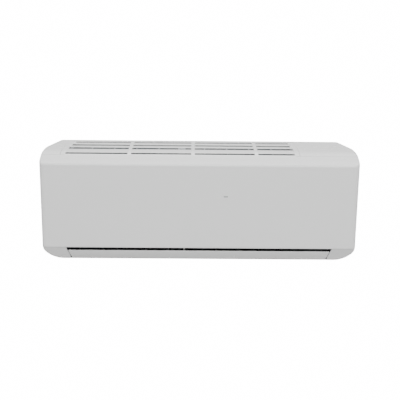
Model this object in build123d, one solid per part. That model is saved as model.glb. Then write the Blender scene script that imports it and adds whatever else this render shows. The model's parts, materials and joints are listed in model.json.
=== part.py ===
"""Wall-hung mini split indoor unit, as an assembly of separate pieces.

Frame: X to the right, Y towards the wall, Z up, millimetres. The origin is on the wall plane, at the
middle of the unit. A place in a cross section is written as a pair (depth, height), where depth is the
distance from the wall, so its Y is minus the depth.
"""
import math
import os

from build123d import *

# ---------------------------------------------------------------- driving dimensions: outer form
WIDTH = 805.0
HEIGHT = 290.0
DEPTH = 196.0
SKIN = 2.5                  # wall of the casing and of the front panel
CORNER_LOW = 50.0           # bottom corners, seen from the front
CORNER_TOP = 10.0           # top corners, seen from the front
CORNER_PLAN = 16.0          # vertical edges between the face and the ends
SHOULDER_WIDTH = 28.5       # back top corners are cut off by a sloping facet
SHOULDER_DROP = 20.0
SHOULDER_LENGTH = 125.0
CROWN_DROP = 2.7            # fall of the top from the wall to the start of the roll
ROLL_START = 66.0           # roll of the top, measured back from the face
ROLL_MIDDLE = 35.0
ROLL_MIDDLE_DROP = 9.0
ROLL_END = 6.0
ROLL_END_DROP = 23.5
NOSE_DROP = 33.0
FACE_BULGE = 1.0
FACE_FALL = 2.0
CHIN_RISE = 43.5            # height of the top of the sloping underside above the bottom
CHIN_RUN = 37.0             # its run back towards the wall
CREASE = 6.5
BACK_REACH = 20.0           # inset forms run on past the wall, so shells are open at the back

# ---------------------------------------------------------------- seams and the front panel
SEAM_D = DEPTH - 35.7       # front edge of the casing's skin
SEAM_GAP = 1.0
HINGE_D = DEPTH - 32.0
HINGE_Z = HEIGHT / 2 - 13.4
LIP_BACK = 0.8              # the panel's lip ends this far behind its hinge axis
LIP_RISE = 3.65             # the top lies this far above the hinge axis at the lip
LIP_GAP = 0.3               # between the lip and the edge that it rolls past
HINGE_STATIONS = (-330.0, -110.0, 110.0, 330.0)
EAR_T = 5.0
HINGE_PIN_R = 1.8
HINGE_PIN_L = 5.0
RUN_GAP = 0.05              # radial clearance of running fits
FRAME_IN = 5.5              # outer face of the front frame, inside the outer form
FRAME_T = 2.5
RING_D = DEPTH - 46.0
RING_T = 3.0
RING_OPEN = 366.0           # below the frame the ring stays clear of the louver and its motor
WINDOW_LEFT = -346.0
WINDOW_RIGHT = 252.0
WINDOW_LOW = -HEIGHT / 2 + 65.0
WINDOW_HIGH = HEIGHT / 2 - 33.0
FRAME_LOW = -HEIGHT / 2 + 49.0
LENS_X = 66.0
LENS_Z = 37.0
LENS_W = 11.0
LENS_H = 3.2
LIGHT_X = 50.5
LIGHT_R = 1.3
FIT_GAP = 0.05              # clearance of pieces let into others

# ---------------------------------------------------------------- top inlet grille
GRILLE_LEFT = -340.5
GRILLE_RIGHT = 241.0
GRILLE_RIM = 12.0
GRILLE_BACK = 12.0
GRILLE_CORNER = 14.0
GRILLE_GAP = 0.8
GRILLE_T = 2.5
SLAT_SINK = 1.0
SLOT_CENTRES = (33.0, 70.0, 107.0, DEPTH - 43.5)
SLOT_WIDTHS = (16.0, 18.0, 19.0, 10.0)
SLOT_SHORTER = ((11.0, 5.0), (6.0, 4.0), (3.0, 0.0), (0.0, 0.0))    # at the left and right ends
RIB_XS = (-179.0, -17.5, 144.0)
RIB_W = 9.0
RIB_DEEP = 7.0
RIB_SINK = 0.2
LEDGE_W = 5.0
LEDGE_T = 2.0

# ---------------------------------------------------------------- louver flap and outlet
SLOT_ALONG = 15.5           # dark slot between the panel's edge and the flap, along the underside
FLAP_T = 3.0
FLAP_LOW_MARGIN = 3.0
FLAP_HALF_TOP = 339.5
FLAP_HALF_LOW = 331.0
FLAP_GAP = 1.6
FLAP_AXIS_D = DEPTH - 44.0
FLAP_AXIS_Z = -HEIGHT / 2 + 16.0
FLAP_PIN_R = 2.4
FLAP_EAR_R = 5.0
FLAP_EAR_T = 3.0
FLAP_EAR_XS = (-331.0, -45.0, 327.0)
NOTCH_BACK = DEPTH - 46.5   # front edge of the casing's bottom, clear of the flap's swing
NOTCH_WIDEN = 4.2           # behind the panel the corners give way to the swinging flap's ends
NOTCH_WIDEN_HIGH = 13.0
PANEL_EDGE_Z = -HEIGHT / 2 + 45.0

# ---------------------------------------------------------------- air path, coil and fan
AIR_LEFT = -340.0
AIR_RIGHT = 246.0
FAN_D = 86.0
FAN_Z = -36.0
FAN_R = 45.0
FAN_INNER_R = 36.0
FAN_BLADES = 35
FAN_BLADE_T = 1.2
FAN_DISCS = 9
FAN_DISC_T = 2.0
FAN_END_GAP = 5.0
FAN_SHAFT_R = 4.0
BUSH_R = 7.0
BEARING_R = 13.0
BEARING_L = 12.0
BEARING_IN = 5.0            # the bearing starts this far inside the left end wall
SCROLL_T = 2.5
SCROLL_START_GAP = 7.0
SCROLL_END_GAP = 32.0
SCROLL_START = 140.0
SCROLL_END = 275.0
FLOOR_D = 138.0
CHEEK_T = 2.5
CHEEK_FRONT = 9.0           # the cheeks end this far behind the ceiling's front edge
CEILING_START = (139.0, -62.8)
CEILING_END = (DEPTH - 15.0, -HEIGHT / 2 + 50.0)
CEILING_T = 2.5
COIL_T = 24.0
COIL_FIN_PITCH = 3.0
COIL_FIN_T = 0.9
COIL_SPINE_T = 3.0
COIL_BLOCKS = {
    "evaporator_rear": ((72.0, 117.0), (28.0, 37.0)),
    "evaporator_front_upper": ((99.0, 116.0), (151.0, 50.0)),
    "evaporator_front_lower": ((160.0, 36.0), (162.0, -44.0)),
}
COIL_WEBS = [
    [(84.0, 96.0), (98.0, 96.0), (98.0, 124.0), (72.0, 124.0)],
    [(146.0, 36.0), (172.0, 36.0), (163.0, 56.0), (143.0, 42.0)],
]
END_PLATE_T = 1.5
END_PLATE_MARGIN = 2.5
TUBE_R = 3.5
TUBE_PITCH = 21.0
TUBE_ROW = 6.0
BEND_STUB = 7.0
UNION_L = 14.0              # unions for the installer's pipes, at the pipes' ends
UNION_WALL = 2.4
NUT_L = 10.0
PIPE_BEND = 9.0
CLAMP_X = -60.0
CLAMP_W = 20.0
CLAMP_MARGIN = 9.0
LIQUID_R = 3.2
LIQUID_START = (31.1, 55.1)
LIQUID_DROP = 258.0         # where the pipe turns down, past the coil's right end
LIQUID_LINE = (17.0, -HEIGHT / 2 + 32.0)
LIQUID_END = -120.0
LIQUID_NUT_R = 8.0
GAS_R = 4.8
GAS_START = (41.6, 49.3)
GAS_DROP = 262.0
GAS_LINE = (29.0, -HEIGHT / 2 + 16.0)
GAS_END = -170.0
GAS_NUT_R = 10.5
EXIT_FRONT = 41.0           # opening in the left end, through which the pipes leave
EXIT_LOW = 4.5
EXIT_HIGH = 42.0
EXIT_DEEP = 32.0

# ---------------------------------------------------------------- vertical vanes
VANE_COUNT = 5
VANE_PITCH = 58.0
VANE_LEFT_START = -312.0
VANE_RIGHT_START = -14.0
VANE_ANGLE = 35.0           # lean of the pivots towards the wall
VANE_BASE = (107.5, -124.6)
VANE_T = 1.5
VANE_LOW = 3.0
VANE_TOP = 63.0
VANE_CHORD = 31.0
VANE_TIP_LOW = 11.0
VANE_TIP_TOP = 55.0
VANE_HEEL = 3.0
VANE_PIN_R = 1.5
VANE_PIN_L = 2.6
VANE_FOOT_R = 4.0           # bosses under the outlet's floor, with the holes of the lower pins
VANE_FOOT_H = 5.0
VANE_FOOT_LOW = -2.8
VANE_HOLE_LOW = 0.1
ROD_OFFSET = 9.0
ROD_LOW = 46.0
ROD_T = 3.0
ROD_PIN_R = 1.2

# ---------------------------------------------------------------- filters
FILTER_IN = 9.0
FILTER_T = 2.5
FILTER_GAP = 3.0
FILTER_BACK = 44.0
FILTER_LOW = -HEIGHT / 2 + 71.0
FILTER_BORDER = 8.0
FILTER_RIB = 2.0
MESH_T = 0.5
MESH_LAP = 3.0              # the mesh stops this far inside the frame's edge

# ---------------------------------------------------------------- chassis, wall plate and electrics
BACK_D = 6.0
BACK_T = 2.5
BACK_TOP_GAP = 0.8          # between the back wall's top and the ledge under the grille
SHELF_TOP = 17.5            # height of the shelf on the back wall, below the top
SHELF_FRONT = 34.0
FLANGE_FRONT = 60.0         # front edge of the flanges round the back wall
CHASSIS_IN = 10.5           # the back wall stops this far inside the unit's ends
END_WALL_LEFT = -372.0
END_WALL_RIGHT = 272.0
PLATE_W = 560.0
PLATE_H = 170.0
PLATE_T = 1.2
PLATE_HOLE_R = 2.6
PLATE_HOLES_X = 500.0
PLATE_HOLES_Z = 130.0
HOOK_XS = (-180.0, 180.0)
HOOK_W = 30.0
HOOK_Z = 60.0
HOOK_REACH = 12.0
HOOK_LIP = 9.0
MOTOR_R = 38.0
MOTOR_START = 279.0
MOTOR_L = 58.0
BOX_LEFT = END_WALL_RIGHT + BACK_T      # the control box hangs on the right end wall
BOX_RIGHT = 390.0
BOX_BACK = DEPTH - 64.0
BOX_FRONT = DEPTH - 20.0
BOX_LOW = -82.0
BOX_HIGH = 104.0
BOX_T = 2.0
BOARD_T = 1.6
BOARD_BLOCKS = (            # from the board's left end: start, end, height over the board, low, high
    (0.0, 30.0, 24.0, 62.0, 90.0),
    (42.0, 60.0, 15.0, 66.0, 82.0),
    (66.0, 84.0, 15.0, 66.0, 82.0),
    (70.0, 84.0, 9.0, 20.0, 48.0),
    (0.0, 26.0, 8.0, -34.0, -26.0),
    (34.0, 56.0, 8.0, -34.0, -26.0),
    (64.0, 84.0, 8.0, -34.0, -26.0),
    (6.0, 24.0, 3.0, -10.0, 6.0),
    (40.0, 76.0, 12.0, -12.0, 4.0),
)
BOARD_CANS = ((12.0, 36.0, 9.0, 26.0), (36.0, 36.0, 6.0, 18.0), (54.0, 36.0, 6.0, 18.0))
BUTTON_X = 335.0
BUTTON_Z = 60.0
BUTTON_R = 5.0
BUTTON_TRAVEL = 1.5
BUTTON_PROUD = 0.2          # how far it stands out of the front frame
SCREW_XS = (-300.0, 0.0, 300.0)
SCREW_D = 118.0
SCREW_R = 1.7
SCREW_HEAD_R = 4.0
SCREW_CAP_R = 4.2
SCREW_BOSS_R = 6.2
SCREW_L = 8.0
SCREW_SEAT = 2.4            # height of the screw heads' seats above the bottom
SCREW_CAP_T = 1.6

# ---------------------------------------------------------------- values worked out from them
HALF = WIDTH / 2
TOP = HEIGHT / 2
BOTTOM = -HEIGHT / 2
CHIN_TOP = (DEPTH - ROLL_END, BOTTOM + CHIN_RISE)
CHIN_LOW = (CHIN_TOP[0] - CHIN_RUN, BOTTOM + SKIN)
STANDING = (Align.CENTER, Align.CENTER, Align.MIN)
PARTS = {}


# ================================================================ helpers
def at(pair, x=0.0):
    """The point at a (depth, height) pair."""
    return (x, -pair[0], pair[1])


def straight(a, b):
    return Edge.make_line(at(a), at(b))


def curve(a, m, b):
    return Edge.make_three_point_arc(at(a), at(m), at(b))


def plate(pairs, x0, x1):
    """A prism along X from x0 to x1, over a polygon of (depth, height) pairs."""
    face = make_face(Polyline(*[at(p) for p in pairs], close=True))
    return Pos(x0, 0, 0) * extrude(face, amount=x1 - x0, dir=(1, 0, 0))


def block(x0, x1, d0, d1, z0, z1):
    """A box between two X, two depths and two heights."""
    return Pos((x0 + x1) / 2, -(d0 + d1) / 2, (z0 + z1) / 2) * Box(x1 - x0, d1 - d0, z1 - z0)


def rod_x(pair, r, x0, x1):
    """A cylinder along X."""
    return Pos((x0 + x1) / 2, -pair[0], pair[1]) * Rot(0, 90, 0) * Cylinder(r, x1 - x0)


def rod_y(x, z, r, d0, d1):
    """A cylinder along Y."""
    return Pos(x, -(d0 + d1) / 2, z) * Rot(90, 0, 0) * Cylinder(r, d1 - d0)


def rod_z(x, d, r, z0, z1):
    """A cylinder along Z."""
    return Pos(x, -d, (z0 + z1) / 2) * Cylinder(r, z1 - z0)


def bar(a, b, t, x0, x1):
    """A flat bar along X whose section runs from pair a to pair b, with thickness t to its right."""
    run, rise = b[0] - a[0], b[1] - a[1]
    length = math.hypot(run, rise)
    side = (rise / length * t, -run / length * t)
    return plate([a, b, (b[0] + side[0], b[1] + side[1]), (a[0] + side[0], a[1] + side[1])], x0, x1)


def join(*shapes):
    """One shape fused from the solids of several."""
    solids = [solid for shape in shapes for solid in shape.solids()]
    fused = solids[0].fuse(*solids[1:]) if len(solids) > 1 else solids[0]
    found = fused.solids()
    return found[0] if len(found) == 1 else Compound(found)


def group(shapes):
    """Several loose pieces as one node."""
    return Compound(children=[solid for shape in shapes for solid in shape.solids()])


def keep(name, shape):
    """Stores a finished piece under its node name."""
    PARTS[name] = shape


# ================================================================ outer form
def section_face():
    """The cross section of the whole unit, run on past the wall."""
    roll_start = (DEPTH - ROLL_START, TOP - CROWN_DROP)
    roll_middle = (DEPTH - ROLL_MIDDLE, TOP - ROLL_MIDDLE_DROP)
    roll_end = (DEPTH - ROLL_END, TOP - ROLL_END_DROP)
    face_top = (DEPTH - FACE_BULGE, TOP - NOSE_DROP)
    nose = (DEPTH - FACE_BULGE - 0.6, (roll_end[1] + face_top[1]) / 2 + 0.75)
    face_low = (DEPTH - FACE_FALL, CHIN_TOP[1] + CREASE)
    crease = (DEPTH - FACE_FALL - 1.2, CHIN_TOP[1] + 2.0)
    heel = (CHIN_LOW[0] - 3.0, BOTTOM)
    crown = (roll_start[0] / 2, TOP - CROWN_DROP / 4)
    edges = [
        straight((-BACK_REACH, TOP), (0, TOP)),
        curve((0, TOP), crown, roll_start),
        curve(roll_start, roll_middle, roll_end),
        curve(roll_end, nose, face_top),
        curve(face_top, (DEPTH, (face_top[1] + face_low[1]) / 2), face_low),
        curve(face_low, crease, CHIN_TOP),
        straight(CHIN_TOP, CHIN_LOW),
        curve(CHIN_LOW, ((CHIN_LOW[0] + heel[0]) / 2, BOTTOM + SKIN / 3), heel),
        straight(heel, (-BACK_REACH, BOTTOM)),
        straight((-BACK_REACH, BOTTOM), (-BACK_REACH, TOP)),
    ]
    return make_face(Wire(edges))


def inset(face, t):
    return offset(face, amount=-t, kind=Kind.INTERSECTION) if t > 0 else face


def section(t, t_in=None):
    """The cross section inset by t, less the one inset by t_in."""
    face = inset(section_face(), t)
    return face - inset(section_face(), t_in) if t_in is not None else face


def slab(face, x0, x1, d0, d1):
    """The upper half of a section between two depths, as a prism from x0 to x1."""
    clip = make_face(Polyline(at((d0, 0)), at((d1, 0)), at((d1, TOP + 1)), at((d0, TOP + 1)), close=True))
    return Pos(x0, 0, 0) * extrude(face & clip, amount=x1 - x0, dir=(1, 0, 0))


def front_face():
    """The outline seen from the front."""
    r, c = CORNER_LOW, CORNER_TOP
    k = math.sqrt(0.5)

    def p(x, z):
        return (x, 0, z)

    edges = [Edge.make_line(p(-HALF + r, BOTTOM), p(HALF - r, BOTTOM))]
    edges.append(Edge.make_three_point_arc(
        p(HALF - r, BOTTOM), p(HALF - r + r * k, BOTTOM + r - r * k), p(HALF, BOTTOM + r)))
    edges.append(Edge.make_line(p(HALF, BOTTOM + r), p(HALF, TOP - c)))
    edges.append(Edge.make_three_point_arc(
        p(HALF, TOP - c), p(HALF - c + c * k, TOP - c + c * k), p(HALF - c, TOP)))
    edges.append(Edge.make_line(p(HALF - c, TOP), p(-HALF + c, TOP)))
    edges.append(Edge.make_three_point_arc(
        p(-HALF + c, TOP), p(-HALF + c - c * k, TOP - c + c * k), p(-HALF, TOP - c)))
    edges.append(Edge.make_line(p(-HALF, TOP - c), p(-HALF, BOTTOM + r)))
    edges.append(Edge.make_three_point_arc(
        p(-HALF, BOTTOM + r), p(-HALF + r - r * k, BOTTOM + r - r * k), p(-HALF + r, BOTTOM)))
    return make_face(Wire(edges))


def plan_face():
    """The outline seen from above, run on past the wall."""
    r = CORNER_PLAN
    k = math.sqrt(0.5)

    def p(x, d):
        return (x, -d, 0)

    edges = [Edge.make_line(p(-HALF, -BACK_REACH), p(HALF, -BACK_REACH))]
    edges.append(Edge.make_line(p(HALF, -BACK_REACH), p(HALF, DEPTH - r)))
    edges.append(Edge.make_three_point_arc(
        p(HALF, DEPTH - r), p(HALF - r + r * k, DEPTH - r + r * k), p(HALF - r, DEPTH)))
    edges.append(Edge.make_line(p(HALF - r, DEPTH), p(-HALF + r, DEPTH)))
    edges.append(Edge.make_three_point_arc(
        p(-HALF + r, DEPTH), p(-HALF + r - r * k, DEPTH - r + r * k), p(-HALF, DEPTH - r)))
    edges.append(Edge.make_line(p(-HALF, DEPTH - r), p(-HALF, -BACK_REACH)))
    return make_face(Wire(edges))


def shoulder_cut(side, t):
    """The block outside the sloping facet at one back top corner, moved inwards by t."""
    a = Vector(side * (HALF - SHOULDER_WIDTH), 0, TOP)
    b = Vector(side * HALF, 0, TOP - SHOULDER_DROP)
    c = Vector(side * HALF, -SHOULDER_LENGTH, TOP)
    normal = (b - a).cross(c - a).normalized()
    if normal.Z < 0:
        normal = normal * -1
    facet = Plane(origin=(a + b + c) * (1 / 3) - normal * t, z_dir=normal)
    return facet * Box(600, 600, 60, align=(Align.CENTER, Align.CENTER, Align.MIN))


def form(t):
    """The whole outer form, inset by t, open past the wall."""
    side = WIDTH / 2 - t
    body = Pos(-side, 0, 0) * extrude(inset(section_face(), t), amount=2 * side, dir=(1, 0, 0))
    tall = extrude(inset(front_face(), t), amount=DEPTH + BACK_REACH + 10, dir=(0, -1, 0))
    body = body & (Pos(0, BACK_REACH + 5, 0) * tall)
    wide = extrude(inset(plan_face(), t), amount=HEIGHT + 20, dir=(0, 0, 1))
    body = body & (Pos(0, 0, BOTTOM - 10) * wide)
    for side_sign in (-1, 1):
        body = body - shoulder_cut(side_sign, t)
    return body


def flap_notch(grow):
    """The space of the flap between the end corners, from the panel's edge down."""
    top_z, low_z = PANEL_EDGE_Z, BOTTOM - 1
    slope = (FLAP_HALF_TOP - FLAP_HALF_LOW) / (CHIN_TOP[1] - CHIN_LOW[1])
    half_top = FLAP_HALF_TOP + grow + slope * (top_z - CHIN_TOP[1])
    half_low = FLAP_HALF_LOW + grow - slope * (CHIN_LOW[1] - low_z)
    face = make_face(Polyline((-half_top, 0, top_z), (half_top, 0, top_z), (half_low, 0, low_z),
                              (-half_low, 0, low_z), close=True))
    return Pos(0, -NOTCH_BACK, 0) * extrude(face, amount=DEPTH, dir=(0, -1, 0))


# ================================================================ shells
def grille_outline(grow):
    """A rounded prism along Z round the inlet grille."""
    x0, x1 = GRILLE_LEFT - GRILLE_RIM - grow, GRILLE_RIGHT + GRILLE_RIM + grow
    d0, d1 = GRILLE_BACK - grow, SEAM_D + 40.0
    body = block(x0, x1, d0, d1, HEIGHT / 4, TOP + 5)
    corners = body.edges().filter_by(Axis.Z).sort_by(Axis.Y)[-2:]
    return fillet(corners, GRILLE_CORNER)


def make_front_casing(outer, skin_inner):
    """End walls, top and bottom, the ring behind the seam and the front frame with its window."""
    skin = (outer - skin_inner) & block(-HALF, HALF, 0, SEAM_D, BOTTOM, TOP)
    skin = skin - grille_outline(GRILLE_GAP) - flap_notch(FLAP_GAP)
    frame_outer, frame_inner = form(FRAME_IN), form(FRAME_IN + FRAME_T)
    ring = (form(SKIN - 0.5) - frame_inner) & block(-HALF, HALF, RING_D, RING_D + RING_T, BOTTOM, TOP)
    ring = ring - block(-HALF, HALF, RING_D - 1, DEPTH, TOP - 20, TOP) - flap_notch(FLAP_GAP)
    ring = ring - block(-RING_OPEN, RING_OPEN, RING_D - 1, DEPTH, BOTTOM + SKIN, FRAME_LOW)
    top_ring = (form(GRILLE_T) - frame_inner) & block(-HALF, HALF, RING_D, RING_D + RING_T, TOP - 20.5, TOP)
    top_ring = top_ring - block(GRILLE_LEFT, GRILLE_RIGHT, RING_D - 1, RING_D + RING_T + 1, HEIGHT / 4, TOP)
    front = (frame_outer - frame_inner) & block(-HALF, HALF, RING_D, DEPTH, FRAME_LOW, TOP)
    front = front - block(WINDOW_LEFT, WINDOW_RIGHT, RING_D + RING_T, DEPTH, WINDOW_LOW, WINDOW_HIGH)
    ledge = form(GRILLE_T) - form(GRILLE_T + LEDGE_T)
    ledge = ledge & grille_outline(LEDGE_W) & block(-HALF, HALF, 0, RING_D + 1, 0, TOP)
    ledge = ledge - grille_outline(-GRILLE_RIM / 2)
    casing = skin + ring + top_ring + front + ledge
    for x in HINGE_STATIONS:
        casing = casing - block(x - EAR_T / 2 - 1, x + EAR_T / 2 + 1, HINGE_D - 5, DEPTH, HINGE_Z - 14, TOP)
        casing = casing + hinge_cradle(x + EAR_T / 2 + 1.6)
    lap = (outer - skin_inner) & block(-HALF, HALF, SEAM_D - 1, HINGE_D - LIP_BACK, HINGE_Z, TOP)
    casing = casing + (lap - lip_sweep() - grille_outline(GRILLE_GAP))
    casing = casing - rod_y(BUTTON_X, BUTTON_Z, BUTTON_R + 0.3, DEPTH - 20, DEPTH)
    widened = FLAP_HALF_LOW + NOTCH_WIDEN
    widened_top = BOTTOM + NOTCH_WIDEN_HIGH
    casing = casing - block(-widened, widened, NOTCH_BACK, SEAM_D + 1, BOTTOM - 1, widened_top)
    exit_low, exit_high = BOTTOM + EXIT_LOW, BOTTOM + EXIT_HIGH
    casing = casing - block(-HALF - 1, -HALF + EXIT_DEEP, -1, EXIT_FRONT, exit_low, exit_high)
    for x in SCREW_XS:
        casing = casing + rod_z(x, SCREW_D, SCREW_BOSS_R, BOTTOM + SKIN - 0.5, BOTTOM + SCREW_L + 1.0)
        casing = casing - rod_z(x, SCREW_D, SCREW_R, BOTTOM - 1, BOTTOM + SCREW_L)
        casing = casing - rod_z(x, SCREW_D, SCREW_CAP_R, BOTTOM - 1, BOTTOM + SCREW_SEAT)
    keep("front_casing", casing)


def lip_sweep():
    """The round space that the panel's lip passes through when the panel swings up."""
    return rod_x((HINGE_D, HINGE_Z), math.hypot(LIP_BACK, LIP_RISE) + LIP_GAP, -HALF - 1, HALF + 1)


def hinge_cradle(x0):
    """An open cradle under one panel pin, standing on the front frame."""
    t = HINGE_PIN_L - 2.4
    body = plate([(HINGE_D - 4.2, HINGE_Z - 0.2), (HINGE_D + 4.2, HINGE_Z - 1.9),
                  (HINGE_D + 5.0, HINGE_Z - 7.0), (HINGE_D - 5.0, HINGE_Z - 3.8)], x0, x0 + t)
    return body - rod_x((HINGE_D, HINGE_Z), HINGE_PIN_R + RUN_GAP, x0 - 1, x0 + t + 1)


def make_front_panel(outer, skin_inner):
    """The whole face with its rolled top and rounded ends, on four hinge ears."""
    lip = HINGE_D - LIP_BACK
    zone = plate([(lip, TOP + 1), (lip, HINGE_Z - 5), (SEAM_D + SEAM_GAP, HINGE_Z - 5),
                  (SEAM_D + SEAM_GAP, BOTTOM - 1), (DEPTH + 2, BOTTOM - 1), (DEPTH + 2, TOP + 1)],
                 -HALF - 1, HALF + 1)
    panel = ((outer - skin_inner) & zone) - flap_notch(FLAP_GAP)
    for x in HINGE_STATIONS:
        panel = panel + hinge_ear(x)
    for x in (-250.0, 250.0):
        panel = panel + block(x - 5, x + 5, DEPTH - 5.4, DEPTH - 3.5, PANEL_EDGE_Z + 6, PANEL_EDGE_Z + 14)
    for x in (LENS_X - 16, LENS_X + 4):
        panel = panel + block(x - 1.5, x + 1.5, DEPTH - 4.4, DEPTH - SKIN, LENS_Z - 8, LENS_Z - 5)
    window = block(LENS_X - LENS_W / 2, LENS_X + LENS_W / 2, DEPTH - 8, DEPTH + 1,
                   LENS_Z - LENS_H / 2, LENS_Z + LENS_H / 2)
    window = fillet(window.edges().filter_by(Axis.Y), LENS_H / 2 - 0.1)
    panel = panel - window - rod_y(LIGHT_X, LENS_Z, LIGHT_R, DEPTH - 8, DEPTH + 1)
    keep("front_panel", panel)
    lens = window & block(0, HALF, DEPTH - SKIN - 0.8, DEPTH - 0.3, 0, TOP)
    keep("receiver_window", lens)
    keep("status_light", rod_y(LIGHT_X, LENS_Z, LIGHT_R, DEPTH - SKIN - 0.8, DEPTH - 0.2))
    board = block(LIGHT_X - 8, LENS_X + 12, DEPTH - 5.6, DEPTH - 4.4, LENS_Z - 8, LENS_Z + 6)
    keep("display_board", board)


def hinge_ear(x):
    """An ear inside the panel, with a pin to its right."""
    places = [(-2.0, -1.8), (2.0, -3.0), (16.0, -12.5), (17.0, -4.0), (2.0, 1.8), (-0.6, 2.2)]
    pairs = [(HINGE_D + ahead, HINGE_Z + above) for ahead, above in places]
    ear = plate(pairs, x - EAR_T / 2, x + EAR_T / 2)
    return ear + rod_x((HINGE_D, HINGE_Z), HINGE_PIN_R, x, x + EAR_T / 2 + HINGE_PIN_L)


def make_inlet_grille():
    """Rim, slats and cross ribs of the top inlet, let into the casing."""
    x0, x1 = GRILLE_LEFT - GRILLE_RIM, GRILLE_RIGHT + GRILLE_RIM
    back, front = SLOT_CENTRES[0] - SLOT_WIDTHS[0] / 2, SLOT_CENTRES[-1] + SLOT_WIDTHS[-1] / 2
    rim = section(0, GRILLE_T)
    grille = slab(rim, x0 - 5, x1 + 5, GRILLE_BACK - 5, HINGE_D - LIP_BACK) & grille_outline(0)
    grille = grille - lip_sweep() - block(GRILLE_LEFT, GRILLE_RIGHT, back, front, 0, TOP + 1)
    sunk = section(SLAT_SINK, SLAT_SINK + GRILLE_T)
    for i in range(len(SLOT_CENTRES) - 1):
        d0 = SLOT_CENTRES[i] + SLOT_WIDTHS[i] / 2
        d1 = SLOT_CENTRES[i + 1] - SLOT_WIDTHS[i + 1] / 2
        grille = grille + slab(sunk, GRILLE_LEFT - 1, GRILLE_RIGHT + 1, d0, d1)
    for centre, width, (left, right) in zip(SLOT_CENTRES, SLOT_WIDTHS, SLOT_SHORTER):
        d0, d1 = centre - width / 2 - 1, centre + width / 2 + 1
        grille = grille + slab(rim, GRILLE_LEFT - 1, GRILLE_LEFT + left, d0, d1)
        grille = grille + slab(rim, GRILLE_RIGHT - right, GRILLE_RIGHT + 1, d0, d1)
    deep, shallow = section(RIB_SINK, RIB_DEEP), section(RIB_SINK, GRILLE_T - RIB_SINK)
    for x in RIB_XS:
        grille = grille + slab(deep, x - RIB_W / 2, x + RIB_W / 2, back - 1, RING_D - 0.5)
        grille = grille + slab(shallow, x - RIB_W / 2, x + RIB_W / 2, RING_D - 1, front + 1)
    keep("inlet_grille", grille)


# ================================================================ louver
def flap_line():
    """Top and low ends of the flap's outer face."""
    run, rise = CHIN_TOP[0] - CHIN_LOW[0], CHIN_TOP[1] - CHIN_LOW[1]
    length = math.hypot(run, rise)
    u = (run / length, rise / length)
    top = (CHIN_TOP[0] - u[0] * SLOT_ALONG, CHIN_TOP[1] - u[1] * SLOT_ALONG)
    low = (CHIN_LOW[0] + u[0] * FLAP_LOW_MARGIN, CHIN_LOW[1] + u[1] * FLAP_LOW_MARGIN)
    return top, low


def make_louver():
    """The flap with its pivot ears, and the shaft of its motor."""
    top, low = flap_line()
    flap = bar(low, top, -FLAP_T, -FLAP_HALF_TOP, FLAP_HALF_TOP)
    flap = flap & flap_notch(0)
    axis = (FLAP_AXIS_D, FLAP_AXIS_Z)
    run, rise = top[0] - low[0], top[1] - low[1]
    length = math.hypot(run, rise)
    u, n = (run / length, rise / length), (rise / length, -run / length)
    reach = (axis[0] - low[0]) * n[0] + (axis[1] - low[1]) * n[1]
    foot = (axis[0] - n[0] * (reach + FLAP_T - 0.5), axis[1] - n[1] * (reach + FLAP_T - 0.5))
    for x in FLAP_EAR_XS:
        ear = rod_x(axis, FLAP_EAR_R, x, x + FLAP_EAR_T)
        pairs = [(axis[0] + u[0] * FLAP_EAR_R, axis[1] + u[1] * FLAP_EAR_R),
                 (foot[0] + u[0] * 9, foot[1] + u[1] * 9), (foot[0] - u[0] * 2, foot[1] - u[1] * 2),
                 (axis[0] - u[0] * FLAP_EAR_R, axis[1] - u[1] * FLAP_EAR_R)]
        flap = flap + ear + plate(pairs, x, x + FLAP_EAR_T)
    flap = flap + rod_x(axis, FLAP_PIN_R, -FLAP_HALF_TOP - CHEEK_T - FLAP_GAP, FLAP_EAR_XS[0] + 1)
    flap = flap + rod_x(axis, FLAP_PIN_R, FLAP_EAR_XS[1] + 1, FLAP_EAR_XS[1] + FLAP_EAR_T + 5)
    right = FLAP_EAR_XS[2]
    flap = flap - rod_x(axis, FLAP_PIN_R, right - 1, right + FLAP_EAR_T + 1)
    keep("louver_flap", flap)
    keep("louver_motor_shaft", rod_x(axis, FLAP_PIN_R, right, FLAP_HALF_TOP + 14))
    centre = (axis[0] - 5.2, axis[1] + 4.7)
    start = FLAP_HALF_TOP + FLAP_GAP + CHEEK_T
    motor = rod_x(centre, 12.0, start, start + 18)
    motor = motor + block(start, start + 1.2, centre[0] - 4, centre[0] + 4, centre[1] - 4, centre[1] + 18)
    keep("louver_motor", motor - rod_x(axis, FLAP_PIN_R + RUN_GAP, start - 1, start + 12))
    x0 = FLAP_EAR_XS[1] + FLAP_EAR_T + 1.5
    bracket = rod_x(axis, FLAP_EAR_R - 0.5, x0, x0 + 3)
    bracket = bracket + plate([(axis[0] - 4, axis[1] + 1), (axis[0] + 2, axis[1] + 3),
                               ceiling_point(10.0, 0.3), ceiling_point(22.0, 0.3)], x0, x0 + 3)
    bracket = bracket - air_ceiling(x0 - 1, x0 + 4, 0.0)
    keep("louver_support", bracket - rod_x(axis, FLAP_PIN_R + RUN_GAP, x0 - 1, x0 + 4))


# ================================================================ air path
def scroll_point(angle, extra):
    """A pair on the scroll round the fan, extra outside its inner face."""
    share = (angle - SCROLL_START) / (SCROLL_END - SCROLL_START)
    r = FAN_R + SCROLL_START_GAP + (SCROLL_END_GAP - SCROLL_START_GAP) * share ** 1.5 + extra
    a = math.radians(angle)
    return (FAN_D + r * math.cos(a), FAN_Z + r * math.sin(a))


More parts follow.
